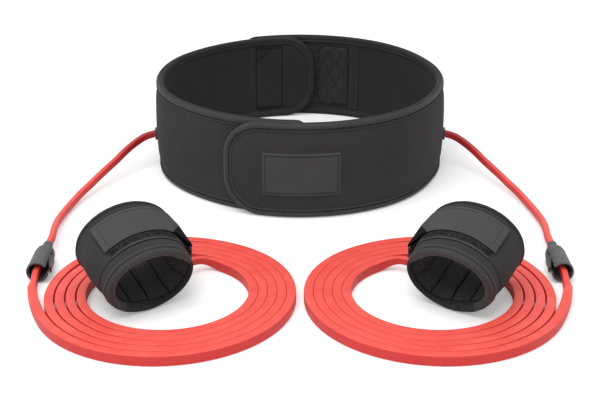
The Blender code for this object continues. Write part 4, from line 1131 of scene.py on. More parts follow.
def buildQuilt():
    start = panelPlace(panels["outer"], quilt["from"])
    bottom, top = quilt["bottom"], quilt["top"]

    def puffAt(s, z):
        u = (start - s) / quilt["diamondWide"]
        v = (z - bottom) / quilt["diamondTall"]
        pillow = abs(math.sin(math.pi * (u + v)) * math.sin(math.pi * (u - v))) ** quilt["power"]
        fade = 1 - smoothStep((start - s - quilt["fadeFrom"]) / quilt["fadeOver"])
        border = smoothStep(min(z - bottom, top - z, start - s) / quilt["border"])
        return quilt["puff"] * pillow * fade * border

    def under(s, z):
        return quilt["under"]

    def height(s, z, edge):
        return between(quilt["thin"], quilt["thickness"], smoothStep(edge / quilt["edge"])) + puffAt(s, z)

    def stripHeight(s, z, edge):
        return between(edgeStrip["thin"], edgeStrip["thickness"], smoothStep(edge / edgeStrip["edge"]))

    addPatch("quilted_loop_fabric", "outer", -1.0, quilt, under, height, quilt["step"], loopNap,
             "loop_fabric", "belt", "back_loop_panel")
    inset = quilt["seamInset"]
    reach = quilt["fadeFrom"] + quilt["fadeOver"]
    lines = []
    for number in range(-quilt["diamonds"], quilt["diamonds"] + 1):
        for lean in (1.0, -1.0):
            points = []
            for up in evenly(0.0, top - bottom, quilt["seamSteps"]):
                out = quilt["diamondWide"] * (number + lean * up / quilt["diamondTall"])
                if inset < out < reach:
                    points.append((start - out, bottom + up))
            if len(points) > 4:
                lines.append([points[0], points[-1]])
    near, far, low, high = start - inset, start - reach, bottom + inset, top - inset
    lines += [[(near, low), (near, high)], [(near, high), (far, high)], [(near, low), (far, low)]]
    places = sewnPlaces("outer", -1.0, lines, lambda s, z: quilt["seamOut"], quilt["spacing"])
    # the stitches are real, but they are drawn thick and close so that their dark thread also stands in for the shade
    # along the quilt's seams
    addStitches("quilt_stitches", places, quilt["bead"], darkThread, "loop_fabric", "belt")

    addPatch("plain_edge_strip", "outer", -1.0, edgeStrip, under, stripHeight, edgeStrip["step"], darkTapeAndShade,
             "binding_tape", "belt", "back_edge_strip")
    low, high = edgeStrip["bottom"] + edgeStrip["seamEnd"], edgeStrip["top"] - edgeStrip["seamEnd"]
    ends = (panelPlace(panels["outer"], edgeStrip["from"]) - edgeStrip["seamInset"],
            panelPlace(panels["outer"], edgeStrip["to"]) + edgeStrip["seamInset"])
    places = sewnPlaces("outer", -1.0, [[(s, low), (s, high)] for s in ends],
                        lambda s, z: edgeStrip["seamOut"], edgeStrip["spacing"])
    addStitches("edge_strip_stitches", places, edgeStrip["bead"], greyThread, "binding_tape", "belt")


# a bed's thickness, how much of it is stiff pile, its cloth and its slot
hookBed = (0.0012, 0.5, hookNylon, "hook_tape")
loopBed = (0.0010, 0.3, loopNap, "loop_fabric")


def buildClosures():
    front, back = closures["front"], closures["back"]
    for seed, name, kind, face, span, bed, body, node in (
            (1.0, "front_hooks", "outer", -1.0, front, hookBed, "front_flap", "front_hook_patch"),
            (2.0, "front_loops", "inner", 1.0, (360.0 + front[0], 360.0 + front[1]), loopBed, "belt",
             "front_loop_patch"),
            (3.0, "back_hooks", "inner", 1.0, back, hookBed, "back_flap", "back_hook_patch")):
        thickness, rough, cloth, slot = bed

        def height(s, z, edge):
            # short stiff pile stands on the bed
            pile = abs(noise.cell(Vector((s / closures["nap"], z / closures["nap"], seed))))
            return thickness * (1 - rough + rough * pile) * smoothStep(edge / closures["edge"])

        addPatch(name, kind, face, {**closures, "from": span[0], "to": span[1]},
                 lambda s, z: closures["under"], height, closures["nap"], cloth, slot, body, node)

    near, far = panels["inner"]["creases"]
    low, high, gap = closures["low"], closures["high"], closures["rowGap"]
    lines = [[(near, low), (near, high)], [(far, low), (far, high)]]
    lines += [[(near, z), (far, z)] for z in (low, high, low + gap, high - gap)]
    lines.append([(near, high - closures["slantDown"]), ((near + far) / 2 + closures["slantAcross"], high)])
    places = sewnPlaces("inner", -1.0, lines,
                        lambda s, z: closures["lift"] - wallOut(panels["inner"], -1.0, s, z),
                        closures["spacing"])
    stitches = addStitches("back_flap_stitches", places, closures["bead"], darkThread, "neoprene")
    blendAcross(stitches, hinges["inner"])


for kind in panels:
    buildWall(kind)
    buildBinding(kind)
print("belt walls and edge tapes ready")
buildLabel()
buildQuilt()
buildClosures()
print("label, quilting and closures ready")


# Lock barrel: turned about the lock's axis, then cut for the band and for the lever
barrel = {
    "x": -0.2330, "back": -0.2540, "axis": 0.0107, "length": 0.0430, "radius": 0.0095, "neck": 0.0058,
    "dome": 0.0100, "domeStep": 0.0002, "lip": 0.0046, "lipEase": 0.0010, "lipProud": 0.0003,
    "wall": 0.0016, "edge": 0.0005, "cavity": 0.0275, "cavityRadius": 0.0076, "segments": 64,
    "bandZ": 0.0115, "bore": (0.0078, 0.0102), "slotX": 0.0036, "slotFrom": 0.0095, "slotZ": 0.0129,
    "slotTall": 0.0064, "cutPast": 0.002, "floorCorner": 0.0012,
}
# Soft sleeve on the band behind the barrel: wide where it meets the neck, then close round the band
sleeve = {"gap": 0.0003, "length": 0.0098, "grip": 0.0004, "wall": 0.0009, "flare": 0.0006,
          "flareOver": 0.003, "turnIn": 0.0006}


def boxCutter(low, high):
    mesh = bpy.data.meshes.new("cutter")
    bm = bmesh.new()
    bmesh.ops.create_cube(bm, size=1.0)
    bmesh.ops.scale(bm, vec=[abs(size) for size in high - low], verts=bm.verts)
    bmesh.ops.translate(bm, vec=(low + high) / 2, verts=bm.verts)
    bm.to_mesh(mesh)
    bm.free()
    return linkObject("cutter", mesh)


def barrelOutline():
    # places along and radii: domed neck, body, lip, mouth and the cavity's floor
    length, radius, edge, cavity = [barrel[key] for key in ("length", "radius", "edge", "cavityRadius")]
    lip = radius + barrel["lipProud"]
    profile = [(barrel["dome"] * share, between(barrel["neck"], radius - barrel["domeStep"],
                                                math.sqrt(1 - (1 - share) ** 2)))
               for share in evenly(0.0, 1.0, 8)]
    profile += [(length - barrel["lip"] - barrel["lipEase"], radius), (length - barrel["lip"], lip)]
    for centre, start in ((lip - edge, 90.0), (lip - barrel["wall"] + edge, 0.0)):
        profile += [onCircle((length - edge, centre), edge, degrees)
                    for degrees in evenly(start, start - 90.0, 3)]
    floor = length - barrel["cavity"]
    corner = barrel["floorCorner"]
    return profile + [(floor + corner, cavity), (floor + corner / 4, cavity - corner / 3),
                      (floor, cavity - corner)]


def turnedBarrel(side):
    def spot(across, along, z):
        return toSide(Vector((barrel["x"] + across, barrel["back"] - along, z)), side)

    rings = [[spot(radius * math.cos(turn), along, barrel["axis"] + radius * math.sin(turn))
              for turn in fullTurn(barrel["segments"])] for along, radius in barrelOutline()]
    body = linkObject("barrel", ringMesh("barrel", rings))
    wide, tall = barrel["bore"]
    past = barrel["cutPast"]
    bore = boxCutter(spot(-wide / 2, -past, barrel["bandZ"] - tall / 2),
                     spot(wide / 2, barrel["length"] - barrel["cavity"] + past, barrel["bandZ"] + tall / 2))
    half = barrel["slotTall"] / 2
    slot = boxCutter(spot(barrel["slotX"], barrel["slotFrom"], barrel["slotZ"] - half),
                     spot(barrel["radius"] + past, barrel["length"] + past, barrel["slotZ"] + half))
    for cutter in (bore, slot):
        cut = body.modifiers.new("cut", "BOOLEAN")
        cut.operation = "DIFFERENCE"
        cut.solver = "EXACT"
        cut.object = cutter
    mesh = bpy.data.meshes.new_from_object(body.evaluated_get(bpy.context.evaluated_depsgraph_get()))
    for spare in (body, bore, slot):
        bpy.data.objects.remove(spare, do_unlink=True)
    return shadeMoulded(mesh, 38)


def softSleeveMesh(side):
    inner = sleeve["grip"]
    outer = inner + sleeve["wall"]
    flare, turnIn = sleeve["flare"], sleeve["turnIn"]
    start = sleeve["gap"]
    stop = start + sleeve["length"]
    # places along the band, and how far the sleeve stands off it
    profile = [(start, inner), (start, outer + flare - turnIn / 2), (start + turnIn / 2, outer + flare)]
    profile += [(start + sleeve["flareOver"] * share, outer + flare * (1 - smoothStep(share)))
                for share in evenly(0.0, 1.0, 6)[2:]]
    profile += [(stop - turnIn, outer), (stop - 0.3 * turnIn, outer - 0.3 * turnIn),
                (stop, inner + 0.3 * turnIn), (stop, inner)]
    rings = []
    for along, off in profile:
        section = roundedSection(band["runWidth"] + 2 * off, band["runTall"] + 2 * off,
                                 band["runRounding"] + off, band["cornerSteps"])
        rings.append([toSide(Vector((barrel["x"] + u, barrel["back"] + along, barrel["bandZ"] + v)), side)
                      for u, v in section])
    return shadeMoulded(ringMesh("sleeve", rings, closeRun=True), 40)


# Moulded pieces on each side: the CAD shapes with rounded edges, apart from the barrel and its sleeve
moulded = {
    "band_socket": (blackAcetal, "black_plastic", "belt", 0.0005),
    "band_end_eye": (blackAcetal, "black_plastic", "belt", 0.0006),
    "lock_body": (greyNylon, "grey_plastic", "lock", turnedBarrel),
    "lock_collar": (softSleeve, "soft_rubber", "lock", softSleeveMesh),
    "lock_lever": (blackAcetal, "black_plastic", "lever", 0.0004),
    "lock_pin": (blackSteel, "dark_steel", "lock", 0.0003),
}
for side in sides:
    onBand = []
    for part, (finish, slot, body, shape) in moulded.items():
        name = side + "_" + part
        mesh = shape(side) if callable(shape) else softenedCopy(name, shape)
        piece = addPiece(name + "_moulding", mesh, finish, slot,
                         body if body == "belt" else side + "_" + body, [name])
        if part != "band_socket":
            onBand.append(piece)
    strip, path = bands[side]
    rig.cord(strip, exit=path[1], length=band["length"], diameter=band["tall"], far_end="fitting",
            stiffness="medium", lay="coiled", path=path, with_pieces=onBand)
print("moulded pieces ready")


# Cuffs
shell = {
    "count": 144, "puff": 0.0012, "puffPower": 0.45, "wrinkle": 0.0005, "wrinkleSize": 0.020, "lumps": 2.1,
    "inner": -0.0041, "endInset": 0.0013, "bandStep": 0.0011, "bandRows": 8, "bodyFrom": 0.0018,
    "bodySteps": 24, "groove": 0.0105, "grooveDepth": 0.0010, "grooveWide": 0.0005, "bandOut": -0.0012,
    "bandPuff": 0.0007, "pressed": -0.0003, "backLip": 0.0008, "lipReach": 0.010, "lipOver": 0.004,
    "seeds": {"left": 11.0, "right": 17.0},
}
# where the strap and the webbing below press the shell, in degrees round it and metres along it
press = {
    "from": -74.0, "fromOver": 6.0, "to": 140.0, "toOver": 8.0, "front": 0.0108, "frontOver": 0.0012,
    "back": 0.048, "backOver": 0.003, "webAt": -95.0, "webReach": 32.0, "webFront": 0.030,
    "webOver": 0.005,
}
lining = {
    "inner": -0.0062, "outer": -0.0044, "endInset": 0.0015, "puff": 0.0034, "channels": 12, "turn": 6.0,
    "frontHem": 0.0040, "frontOver": 0.004, "backHem": 0.0080, "backOver": 0.006, "power": 0.40,
    "uneven": 0.0003, "unevenSize": 0.012, "lumps": 3, "perChannel": 20, "steps": 34, "seamSteps": 22,
    "seamIn": 0.001, "seamLift": 0.0002, "spacing": 0.0024, "bead": (0.0015, 0.00028),
}
rim = {
    "leg": 0.0031, "backLeg": 0.0042, "innerLeg": 0.0042, "deep": -0.0077,
    "rollMiddle": (-0.0008, -0.0046), "rollRadius": 0.0040, "backMiddle": (0.0006, -0.0044),
    "backRadius": 0.0035, "rollFrom": 98.0, "backFrom": 80.0, "rollTo": 300.0, "rollSteps": 16,
    "uneven": 0.00015, "unevenSize": 0.008, "lumps": 6, "count": 180,
    "spacing": 0.0024, "bead": (0.0015, 0.00038), "frontSeam": (-0.0001, -0.0015),
    "backSeam": (0.0030, 0.0003), "innerSeam": (0.0030, -0.0078),
    # the dark tape's rows, and the angles low on the cuff between which the front roll is darkened as painted shade
    "shadeFrom": -130.0, "shadeTo": 18.0, "darkRows": 4,
    "slim": 0.68, "flat": 0.45, "slimMiddle": -26.0, "slimReach": 72.0, "slimFrom": 0.006,
    "slimOver": 0.012, "slimSteep": 1.6,
}
strap = {
    "front": 0.0180, "back": 0.0470, "thickness": 0.0015, "gap": 0.0006, "startAt": 30.0,
    "endAt": 141.0, "ringAt": 10.0, "ringTurn": 9.0, "ringStand": 0.0042, "ringSpan": 0.0120,
    "foldEnd": 181.0, "ringCorner": 0.0020, "sideRoom": 0.0008, "hem": 0.0055, "hemLift": 0.0005,
    "hemOver": 0.0008, "groove": 0.0006, "grooveWide": 0.0006, "sewnRadius": 0.0395, "sewnIn": 0.0032,
    "sewnSink": 0.0002, "spacing": 0.0024, "bead": (0.0015, 0.00032), "baseAt": -29.0, "baseEnd": -68.0,
    "baseGap": 0.0003, "blackFront": 50.0, "blackBack": 6.0, "steps": 80, "across": 36,
    "wrapSteps": 16, "straightSteps": 10, "baseSteps": 14, "baseAcross": 24, "backStitches": 60,
    "hemStitches": 20,
}
hookStrip = {
    "front": 0.0110, "back": 0.0440, "thickness": 0.0008, "from": 46.0, "to": 139.0, "gap": 0.0003,
    "selvedge": 0.0011, "pile": 0.0009, "bed": 0.0003, "pileStep": 0.0007, "sink": 0.0011, "steps": 110,
    "across": 90,
}
# a ribbon's soft edges and its cut end: how thin they are, and over what distance
ribbon = {"edge": 0.35, "edgeOver": 0.0012, "end": 0.4, "endReach": 0.002, "endOver": 0.0008}
wire = {"cornerSteps": 8, "around": 16}


def unevenRound(angle, along, lumps, size, seed=0.0):
    # soft unevenness round the cuff and along it
    return noise.noise(Vector((math.cos(angle) * lumps, math.sin(angle) * lumps, along / size + seed)))


def cuffRay(angle):
    return Vector((math.cos(angle), 0.0, math.sin(angle)))


def cuffPlacer(side):
    matrix = cuffMatrix()
    return lambda point: toSide(matrix @ point, side)


def placedWay(place, way):
    return place(way) - place(Vector((0.0, 0.0, 0.0)))


def signedDegrees(degrees, most):
    # the same angle, not above that many degrees
    return degrees - 360.0 if degrees > most else degrees


def ovalRings(place, stations, count, out, reach=lambda angle, along: along):
    # rings of points round the cuff; out and reach give the distance out and along at each angle
    return [[place(ovalPoint(turn, reach(turn, along), out(turn, along, base))) for turn in fullTurn(count)]
            for along, base in stations]


def underStrap(angle, along):
    # 1 where the strap or its ring presses the shell, 0 well away from them
    degrees = signedDegrees(math.degrees(angle) % 360.0, 250.0)
    beside = (smoothStep((degrees - press["from"]) / press["fromOver"])
              * (1 - smoothStep((degrees - press["to"]) / press["toOver"])))
    across = (smoothStep((along - press["front"]) / press["frontOver"])
              * (1 - smoothStep((along - press["back"]) / press["backOver"])))
    below = (smoothStep(1 - abs(degrees - press["webAt"]) / press["webReach"])
             * smoothStep((along - press["webFront"]) / press["webOver"]))
    return beside * across, below


def slimShare(angle, along):
    # 1 at the cuff's inner side of the front opening, where the roll is pulled flat
    degrees = (math.degrees(angle) - rim["slimMiddle"] + 180.0) % 360.0 - 180.0
    return (smoothStep(rim["slimSteep"] * (1 - abs(degrees) / rim["slimReach"]))
            * (1 - smoothStep((along - rim["slimFrom"]) / rim["slimOver"])))


def slimmed(angle, along, base):
    # what lies inside the cuff's outer face is pressed together there
    return base * (1 - rim["slim"] * slimShare(angle, along))


def flattened(angle, along):
    # and the roll stands out less there
    return along * (1 - rim["flat"] * slimShare(angle, along)) if along < 0 else along


def buildShell(side, place):
    stop = cuff["length"] - shell["endInset"]
    # close rows at the smooth band and its groove, even ones over the body
    places = [shell["endInset"] + shell["bandStep"] * k for k in range(shell["bandRows"])]
    places += closeRows(shell["groove"], shell["grooveWide"])
    places += evenly(shell["groove"] + shell["bodyFrom"], stop, shell["bodySteps"])
    stations = [(along, shellOut(along)) for along in places]
    stations += [(places[-1], shell["inner"]), (places[0], shell["inner"])]
    bodyStart = shell["groove"] + shell["grooveWide"]

    def out(angle, along, base):
        if base == shell["inner"]:
            return slimmed(angle, along, base)
        groove = shell["grooveDepth"] * math.exp(-((along - shell["groove"]) / shell["grooveWide"]) ** 2)
        if along < shell["groove"]:
            swell = shell["bandPuff"] * math.sin(math.pi * along / shell["groove"])
            return shell["bandOut"] + swell - groove
        middle = math.sin(math.pi * clamped((along - bodyStart) / (cuff["length"] - bodyStart)))
        beside, below = underStrap(angle, along)
        wave = shell["wrinkle"] * unevenRound(angle, along, shell["lumps"], shell["wrinkleSize"],
                                               shell["seeds"][side])
        lip = shell["backLip"] * smoothStep((along - cuff["length"] + shell["lipReach"]) / shell["lipOver"])
        loose = base + shell["puff"] * middle ** shell["puffPower"] + wave * middle + lip
        held = between(loose, max(base, shell["pressed"]), beside)
        return between(held, base, below) - groove

    piece = addSkin(side + "_cuff_padding", ovalRings(place, stations, shell["count"], out), cuffJersey,
                    "jersey", side + "_cuff", [side + "_cuff_shell"], closeRun=True)
    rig.padded(piece, fill=0.7)


def buildLining(side, place):
    near, far = lining["endInset"], cuff["length"] - lining["endInset"]
    stations = [(near, lining["outer"]), (far, lining["outer"])]
    stations += [(along, lining["inner"]) for along in evenly(far, near, lining["steps"])]
    turn = math.radians(lining["turn"])
    perChannel = lining["perChannel"]
    count = perChannel * lining["channels"]

    def out(angle, along, base):
        if base == lining["outer"]:
            return slimmed(angle, along, base)
        inside = (smoothStep((along - lining["frontHem"]) / lining["frontOver"])
                  * smoothStep((cuff["length"] - lining["backHem"] - along) / lining["backOver"]))
        pillow = abs(math.sin(lining["channels"] * (angle - turn) / 2)) ** lining["power"]
        soft = lining["uneven"] * unevenRound(angle, along, lining["lumps"], lining["unevenSize"])
        return slimmed(angle, along, base - inside * (lining["puff"] * pillow + soft))

    piece = addSkin(side + "_cuff_channels", ovalRings(place, stations, count, out), brushedLining,
                    "soft_lining", side + "_cuff", [side + "_cuff_lining"], closeRun=True)
    # painted shade: a strip of faces along each sewn seam between the channels takes the dark thread's material, for
    # the shade in the fold there
    seamShadeAt = int(lining["turn"] / 360.0 * count)
    paintFaces(piece, darkThread, lambda row, spot: row > 2 and spot % perChannel == seamShadeAt, count)
    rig.padded(piece, fill=0.6)
    places = []
    seam = evenly(lining["frontHem"] + lining["seamIn"], cuff["length"] - lining["backHem"],
                  lining["seamSteps"])
    for channel in fullTurn(lining["channels"]):
        angle = turn + channel
        points = [place(ovalPoint(angle, along, lining["inner"] - lining["seamLift"])) for along in seam]
        places += stitchesAlong(points, [placedWay(place, -cuffRay(angle))] * len(points),
                                lining["spacing"])
    addStitches(side + "_cuff_channel_stitches", places, lining["bead"], darkThread, "soft_lining",
                side + "_cuff")


def rollArc(middle, radius, start):
    return [onCircle(middle, radius, degrees) for degrees in evenly(start, rim["rollTo"], rim["rollSteps"])]


def innerRim():
    # the tape's inner leg and the way back inside the roll
    deep = rim["deep"]
    inner = rim["innerLeg"]
    return [(0.0022, deep - 0.0002), (inner - 0.0007, deep), (inner, deep + 0.0006),
            (inner - 0.0006, -0.0062), (0.0028, -0.0045), (0.0026, -0.0026)]


def frontRim():
    # short outer leg, sewn groove, and the thick roll round the opening
    leg = rim["leg"]
    return ([(leg, -0.0018), (leg + 0.0001, -0.0010), (leg - 0.0004, -0.0004), (leg - 0.0013, -0.0001),
             (leg - 0.0022, -0.0003), (0.0003, -0.0009), (-0.0001, -0.0016), (-0.0006, -0.0012)]
            + rollArc(rim["rollMiddle"], rim["rollRadius"], rim["rollFrom"]) + innerRim())


def backRim():
    # a thin flat leg that runs straight into a small roll
    leg = rim["backLeg"]
    return ([(leg, -0.0014), (leg, -0.0003), (leg - 0.0006, 0.0003), (leg - 0.0016, 0.0004),
             (leg - 0.0026, 0.0001)]
            + rollArc(rim["backMiddle"], rim["backRadius"], rim["backFrom"]) + innerRim())


def buildRim(side, place, end, profile, cloth, outerSeam):
    turns = fullTurn(rim["count"])

    def fromFront(along):
        return cuff["length"] - along if end == "back" else along

    def out(angle, along, base):
        uneven = rim["uneven"] * unevenRound(angle, along, rim["lumps"], rim["unevenSize"])
        return slimmed(angle, along, base) + uneven

    title = side + "_cuff_" + end + "_roll"
    stations = [(fromFront(along), base) for along, base in profile]
    piece = addSkin(title, ovalRings(place, stations, rim["count"], out, flattened), cloth,
                    "binding_tape", side + "_cuff", [side + "_cuff_" + end + "_binding"], closeRun=True)
    places = []
    for (along, base), way in ((outerSeam, 1.0), (rim["innerSeam"], -1.0)):
        at = fromFront(along)
        points = [place(ovalPoint(turn, at, slimmed(turn, at, base))) for turn in turns]
        outwards = [placedWay(place, cuffRay(turn) * way) for turn in turns]
        places += stitchesAlong(points, outwards, rim["spacing"], close=True)
    addStitches(title + "_stitches", places, rim["bead"], darkThread, "binding_tape", side + "_cuff")
    return piece


def buildRims(side, place):
    profile = frontRim()
    # the dark tape starts at the roll's inner part; low on the cuff it also covers the roll's outer part as painted
    # shade
    darkRow = len(profile) - len(innerRim()) - rim["darkRows"]
    lowRow = len(profile) - len(innerRim()) - rim["rollSteps"]

    def darkAndShadedFace(row, spot):
        degrees = signedDegrees(360.0 * spot / rim["count"], 180.0)
        # painted shade: the roll's outer part is darkened low on the cuff, where shade falls
        low = rim["shadeFrom"] < degrees < rim["shadeTo"]
        return row >= darkRow or (low and row >= lowRow)

    front = buildRim(side, place, "front", profile, edgeTape, rim["frontSeam"])
    paintFaces(front, darkTapeAndShade, darkAndShadedFace, rim["count"])
    buildRim(side, place, "back", backRim(), darkTapeAndShade, rim["backSeam"])


def seenFlat(point):
    return Vector((point.x, point.z))


def hooked(centre, radius, start, way, target):
    # points round a bar from a start angle to where a straight run to the target leaves it
    reach = target - centre
    leaves = math.degrees(math.atan2(reach.y, reach.x) - way * math.acos(radius / reach.length))
    sweep = way * ((way * (leaves - start)) % 360.0)
    return [Vector(onCircle(centre, radius, degrees))
            for degrees in evenly(start, start + sweep, strap["wrapSteps"])]


def overShell(fromAt, toAt, steps, out, front, back):
    # a ribbon's front and back edge, seen from the front, where it lies over the shell
    return [[seenFlat(ovalPoint(math.radians(degrees), along, out))
             for degrees in evenly(fromAt, toAt, steps)] for along in (front, back)]


def ribbonRings(place, edges, front, back, thickness, lift=lambda fromEnd: 0.0, across=16):
    # a strip between two edge paths, with soft edges; lift adds to its thickness near its end
    lengths = distances(edges[0])
    rings = []
    for k, travelled in enumerate(lengths):
        normals = []
        for path in edges:
            way = Vector((0.0, 0.0))
            if k > 0:
                way += (path[k] - path[k - 1]).normalized()
            if k < len(path) - 1:
                way += (path[k + 1] - path[k]).normalized()
            way.normalize()
            normals.append(Vector((-way.y, way.x)))
        top = []
        under = []
        fromEnd = lengths[-1] - travelled
        ends = between(ribbon["end"], 1.0, smoothStep(min(fromEnd, ribbon["endReach"]) / ribbon["endOver"]))
        for j in range(across + 1):
            share = easedShare(j / across)
            middle = edges[0][k].lerp(edges[1][k], share)
            normal = normals[0].lerp(normals[1], share).normalized()
            along = between(front, back, share)
            edge = min(share, 1 - share) * (back - front)
            half = thickness / 2 * between(ribbon["edge"], 1.0, smoothStep(edge / ribbon["edgeOver"])) * ends
            high = middle - normal * (half + lift(fromEnd))
            low = middle + normal * half
            top.append(place(Vector((high.x, along, high.y))))
            under.append(place(Vector((low.x, along, low.y))))
        rings.append(top + under[::-1])
    return rings


def addWireRing(name, place, low, high, front, back, corner, body, node):
    # a closed wire frame round a ribbon; low and high are its bars' middles seen from the front
    room = cuff["wire"] + strap["sideRoom"]
    middle = (low + high) / 2
    way = (high - low).normalized()
    flatWay = Vector((way.x, 0.0, way.y))
    upWay = Vector((-way.y, 0.0, way.x))
    centre = Vector((middle.x, (front + back) / 2, middle.y))
    spots = roundedSection((high - low).length, back - front + 2 * room, corner,
                           wire["cornerSteps"])
    rings = []
    for k, (u, v) in enumerate(spots):
        tangent = (Vector(spots[(k + 1) % len(spots)]) - Vector(spots[k - 1])).normalized()
        outWay = flatWay * tangent.y - Vector((0.0, tangent.x, 0.0))
        spot = centre + flatWay * u + Vector((0.0, v, 0.0))
        rings.append([place(spot + (outWay * math.cos(turn) + upWay * math.sin(turn)) * cuff["wire"])
                      for turn in fullTurn(wire["around"])])
    addSkin(name, rings, blackSteel, "dark_steel", body, [node], closeRun=True)


def buildHooks(side, place):
    front, back, columns = hookStrip["front"], hookStrip["back"], hookStrip["across"]
    height = shellOut(cuff["length"] / 2) + hookStrip["gap"] + hookStrip["thickness"] / 2
    edges = overShell(hookStrip["from"], hookStrip["to"], hookStrip["steps"], height, front, back)
    rings = ribbonRings(place, edges, front, back, hookStrip["thickness"], across=columns)
    # a plain woven selvedge runs in front, and stiff hooks stand up behind it as far as the strap
    bedFrom = front + hookStrip["selvedge"]
    bedTo = strap["front"] - hookStrip["bed"]
    reach = [between(front, back, easedShare(j / columns)) for j in range(columns + 1)]
    # and the strip lies down on the shell in front of the strap
    for i, ring in enumerate(rings):
        for j, along in enumerate(reach):
            outward = (ring[j] - ring[-1 - j]).normalized()
            sunk = hookStrip["sink"] * (1 - smoothStep((along - front) / (strap["front"] - front)))
            ring[-1 - j] = ring[-1 - j] - outward * sunk
            ring[j] = ring[j] - outward * sunk
            if bedFrom < along < bedTo:
                pile = noise.cell(Vector((i * 1.0, along / hookStrip["pileStep"], 4.0)))
                ring[j] = ring[j] + outward * (hookStrip["pile"] * abs(pile) - hookStrip["bed"])
    piece = addSkin(side + "_strap_hooks", rings, hookNylon, "hook_tape", side + "_strap",
                    [side + "_cuff_strap_hook"])
    paintFaces(piece, doubleKnit,
               lambda row, spot: spot > 2 * columns or reach[min(spot, columns)] < bedFrom,
               2 * (columns + 1))


def buildStrap(side, place):
    front, back = strap["front"], strap["back"]
    middle = (front + back) / 2
    crown = shellOut(cuff["length"] / 2)
    strapMid = crown + strap["gap"] + hookStrip["thickness"] + strap["thickness"] / 2
    upper, beside = [seenFlat(ovalPoint(math.radians(strap["ringAt"] - turn), middle,
                                        crown + strap["ringStand"])) for turn in (0.0, strap["ringTurn"])]
    lower = upper + (beside - upper).normalized() * strap["ringSpan"]

    def roundBar(centre, way, edges):
        # each edge's path: round the ring's bar, straight on, and over the shell
        paths = []
        for edge in edges:
            wrapped = hooked(centre, cuff["wire"] + cuff["wireRoom"] + strap["thickness"] / 2,
                             strap["foldEnd"], way, edge[0])
            straight = evenly(0.0, 1.0, strap["straightSteps"])[1:-1]
            paths.append(wrapped + [wrapped[-1].lerp(edge[0], share) for share in straight] + edge)
        return paths

    def hemLift(fromEnd):
        # the folded hem at the free end, and a groove where it is sewn
        past = fromEnd - strap["hem"]
        return (strap["hemLift"] * (1 - smoothStep(past / strap["hemOver"]))
                - strap["groove"] * math.exp(-(past / strap["grooveWide"]) ** 2))

    across = strap["across"]
    over = overShell(strap["startAt"], strap["endAt"], strap["steps"], strapMid, front, back)
    paths = roundBar(upper, 1.0, over)
    piece = addSkin(side + "_cuff_closing_strap",
                    ribbonRings(place, paths, front, back, strap["thickness"], hemLift, across), doubleKnit,
                    "strap_fabric", side + "_strap", [side + "_cuff_strap"])
    # the angle round the cuff at which each of the strap's rows lies
    turned = [math.degrees(math.atan2(point.y / cuff["front"][1], point.x / cuff["front"][0]))
              for point in paths[0]]

    def blackFace(row, spot):
        # nylon webbing is sewn into the strap's end and goes round the ring
        share = easedShare(min(spot, 2 * across + 1 - spot) / across)
        return row < len(turned) and turned[row] < between(strap["blackFront"], strap["blackBack"], share)

    paintFaces(piece, nylonWebbing, blackFace, 2 * (across + 1))

    def sewnLine(spots):
        points = []
        outwards = []
        for degrees, along in spots:
            angle = math.radians(degrees)
            low, high = [ovalPoint(angle, end, strapMid + strap["thickness"] / 2 - strap["sewnSink"])
                         for end in (front, back)]
            point = low.lerp(high, (along - front) / (back - front))
            points.append(place(Vector((point.x, along, point.z))))
            outwards.append(placedWay(place, cuffRay(angle)))
        return stitchesAlong(points, outwards, strap["spacing"])

    # stitches along the back edge and across the hem
    sewnIn = strap["sewnIn"]
    hemAt = strap["endAt"] - math.degrees(strap["hem"] / strap["sewnRadius"])
    places = sewnLine([(degrees, back - sewnIn) for degrees in evenly(strap["startAt"], hemAt,
                                                                 strap["backStitches"])])
    places += sewnLine([(hemAt, along) for along in evenly(front + sewnIn, back - sewnIn,
                                                       strap["hemStitches"])])
    addStitches(side + "_strap_stitches", places, strap["bead"], darkThread, "strap_fabric",
                side + "_strap")
    buildHooks(side, place)

    under = overShell(strap["baseAt"], strap["baseEnd"], strap["baseSteps"],
                      crown + strap["baseGap"] + strap["thickness"] / 2, front, back)
    rings = ribbonRings(place, roundBar(lower, -1.0, under), front, back, strap["thickness"],
                        across=strap["baseAcross"])
    addSkin(side + "_strap_webbing_base", rings, nylonWebbing, "webbing", side + "_cuff",
            [side + "_cuff_strap_base"])
    addWireRing(side + "_strap_wire_ring", place, lower, upper, front, back, strap["ringCorner"],
                side + "_cuff", side + "_cuff_strap_ring")


def buildWebbing(side, place):
    half = cuff["webWidth"] / 2
    front, back = cuff["webAlong"] - half, cuff["webAlong"] + half
    near = Vector((cuff["dRingX"], webBarHeight()))
    far = near + Vector((cuff["dRingSpan"], 0.0))
    hold = cuff["wire"] + cuff["wireRoom"] + cuff["webThickness"] / 2
    path = [seenFlat(webSeat(degrees)) for degrees in evenly(cuff["webFrom"], -90.0, cuff["webSteps"])]
    path += [Vector(onCircle(near, hold, degrees)) for degrees in evenly(-90.0, 180.0, cuff["barSteps"])]
    rings = ribbonRings(place, [path, path], front, back, cuff["webThickness"])
    addSkin(side + "_webbing_loop", rings, nylonWebbing, "webbing", side + "_cuff",
            [side + "_cuff_web_loop"])
    addWireRing(side + "_wire_d_ring", place, near, far, front, back, cuff["dRingCorner"],
                side + "_ring", side + "_cuff_d_ring")


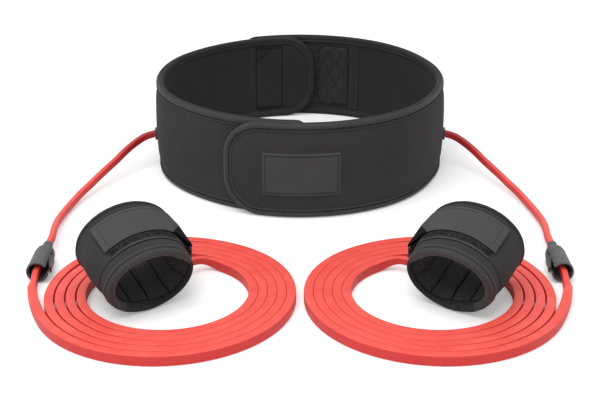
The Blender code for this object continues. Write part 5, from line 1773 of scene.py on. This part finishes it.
for side in sides:
    for build in (buildShell, buildLining, buildRims, buildStrap, buildWebbing):
        build(side, cuffPlacer(side))
print("cuffs ready")


# Floor, soft light and surroundings
studio = {"floor": 6.0, "floorDrop": 0.0002, "floorColour": "#F7F7F7", "floorGlow": 0.24, "fill": 0.62,
          "keyPower": 26.0, "keySize": 1.6, "keyPlace": (-0.35, -0.75, 1.9)}
white = (1.0, 1.0, 1.0, 1.0)


def buildStudio():
    half = studio["floor"] / 2
    mesh = bpy.data.meshes.new("studio_floor")
    mesh.from_pydata([(-half, -half, 0), (half, -half, 0), (half, half, 0), (-half, half, 0)], [],
                     [(0, 1, 2, 3)])
    floor = linkObject("studio_floor", mesh)
    floor.location.z = -studio["floorDrop"]
    paint, tree = startMaterial("matt white studio paint", {
        "Base Color": linearColour(studio["floorColour"]), "Roughness": 0.9, "Specular IOR Level": 0.1,
        "Emission Color": white})
    # a little brighter to the camera alone, so that it reads as white and keeps its shadows
    seen = addNode(tree, "LightPath", {}, {})["Is Camera Ray"]
    glow = mapRange(tree, seen, 0.0, 1.0, toHigh=studio["floorGlow"])
    tree.links.new(glow, tree.nodes["Principled BSDF"].inputs["Emission Strength"])
    mesh.materials.append(paint)
    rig.stage(floor)

    world = bpy.data.worlds.new("studio")
    bpy.context.scene.world = world
    world.use_nodes = True
    tree = world.node_tree
    rays = addNode(tree, "LightPath", {}, {})
    straight = mathNode(tree, "MAXIMUM", [rays["Is Camera Ray"], rays["Is Glossy Ray"]])
    background = tree.nodes["Background"]
    background.inputs["Color"].default_value = white
    tree.links.new(mapRange(tree, straight, 0.0, 1.0, toLow=studio["fill"]), background.inputs["Strength"])

    key = linkObject("key_light", bpy.data.lights.new("key_light", "AREA"))
    key.data.energy = studio["keyPower"]
    key.data.size = studio["keySize"]
    key.location = studio["keyPlace"]
    key.rotation_euler = (-key.location).to_track_quat("-Z", "Y").to_euler()


buildStudio()
print("studio ready")

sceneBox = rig.bounds()
with open("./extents.json", "w") as sizeFile:
    json.dump({"cad": [list(corner) for corner in cadBox], "scene": [list(corner) for corner in sceneBox]},
              sizeFile)
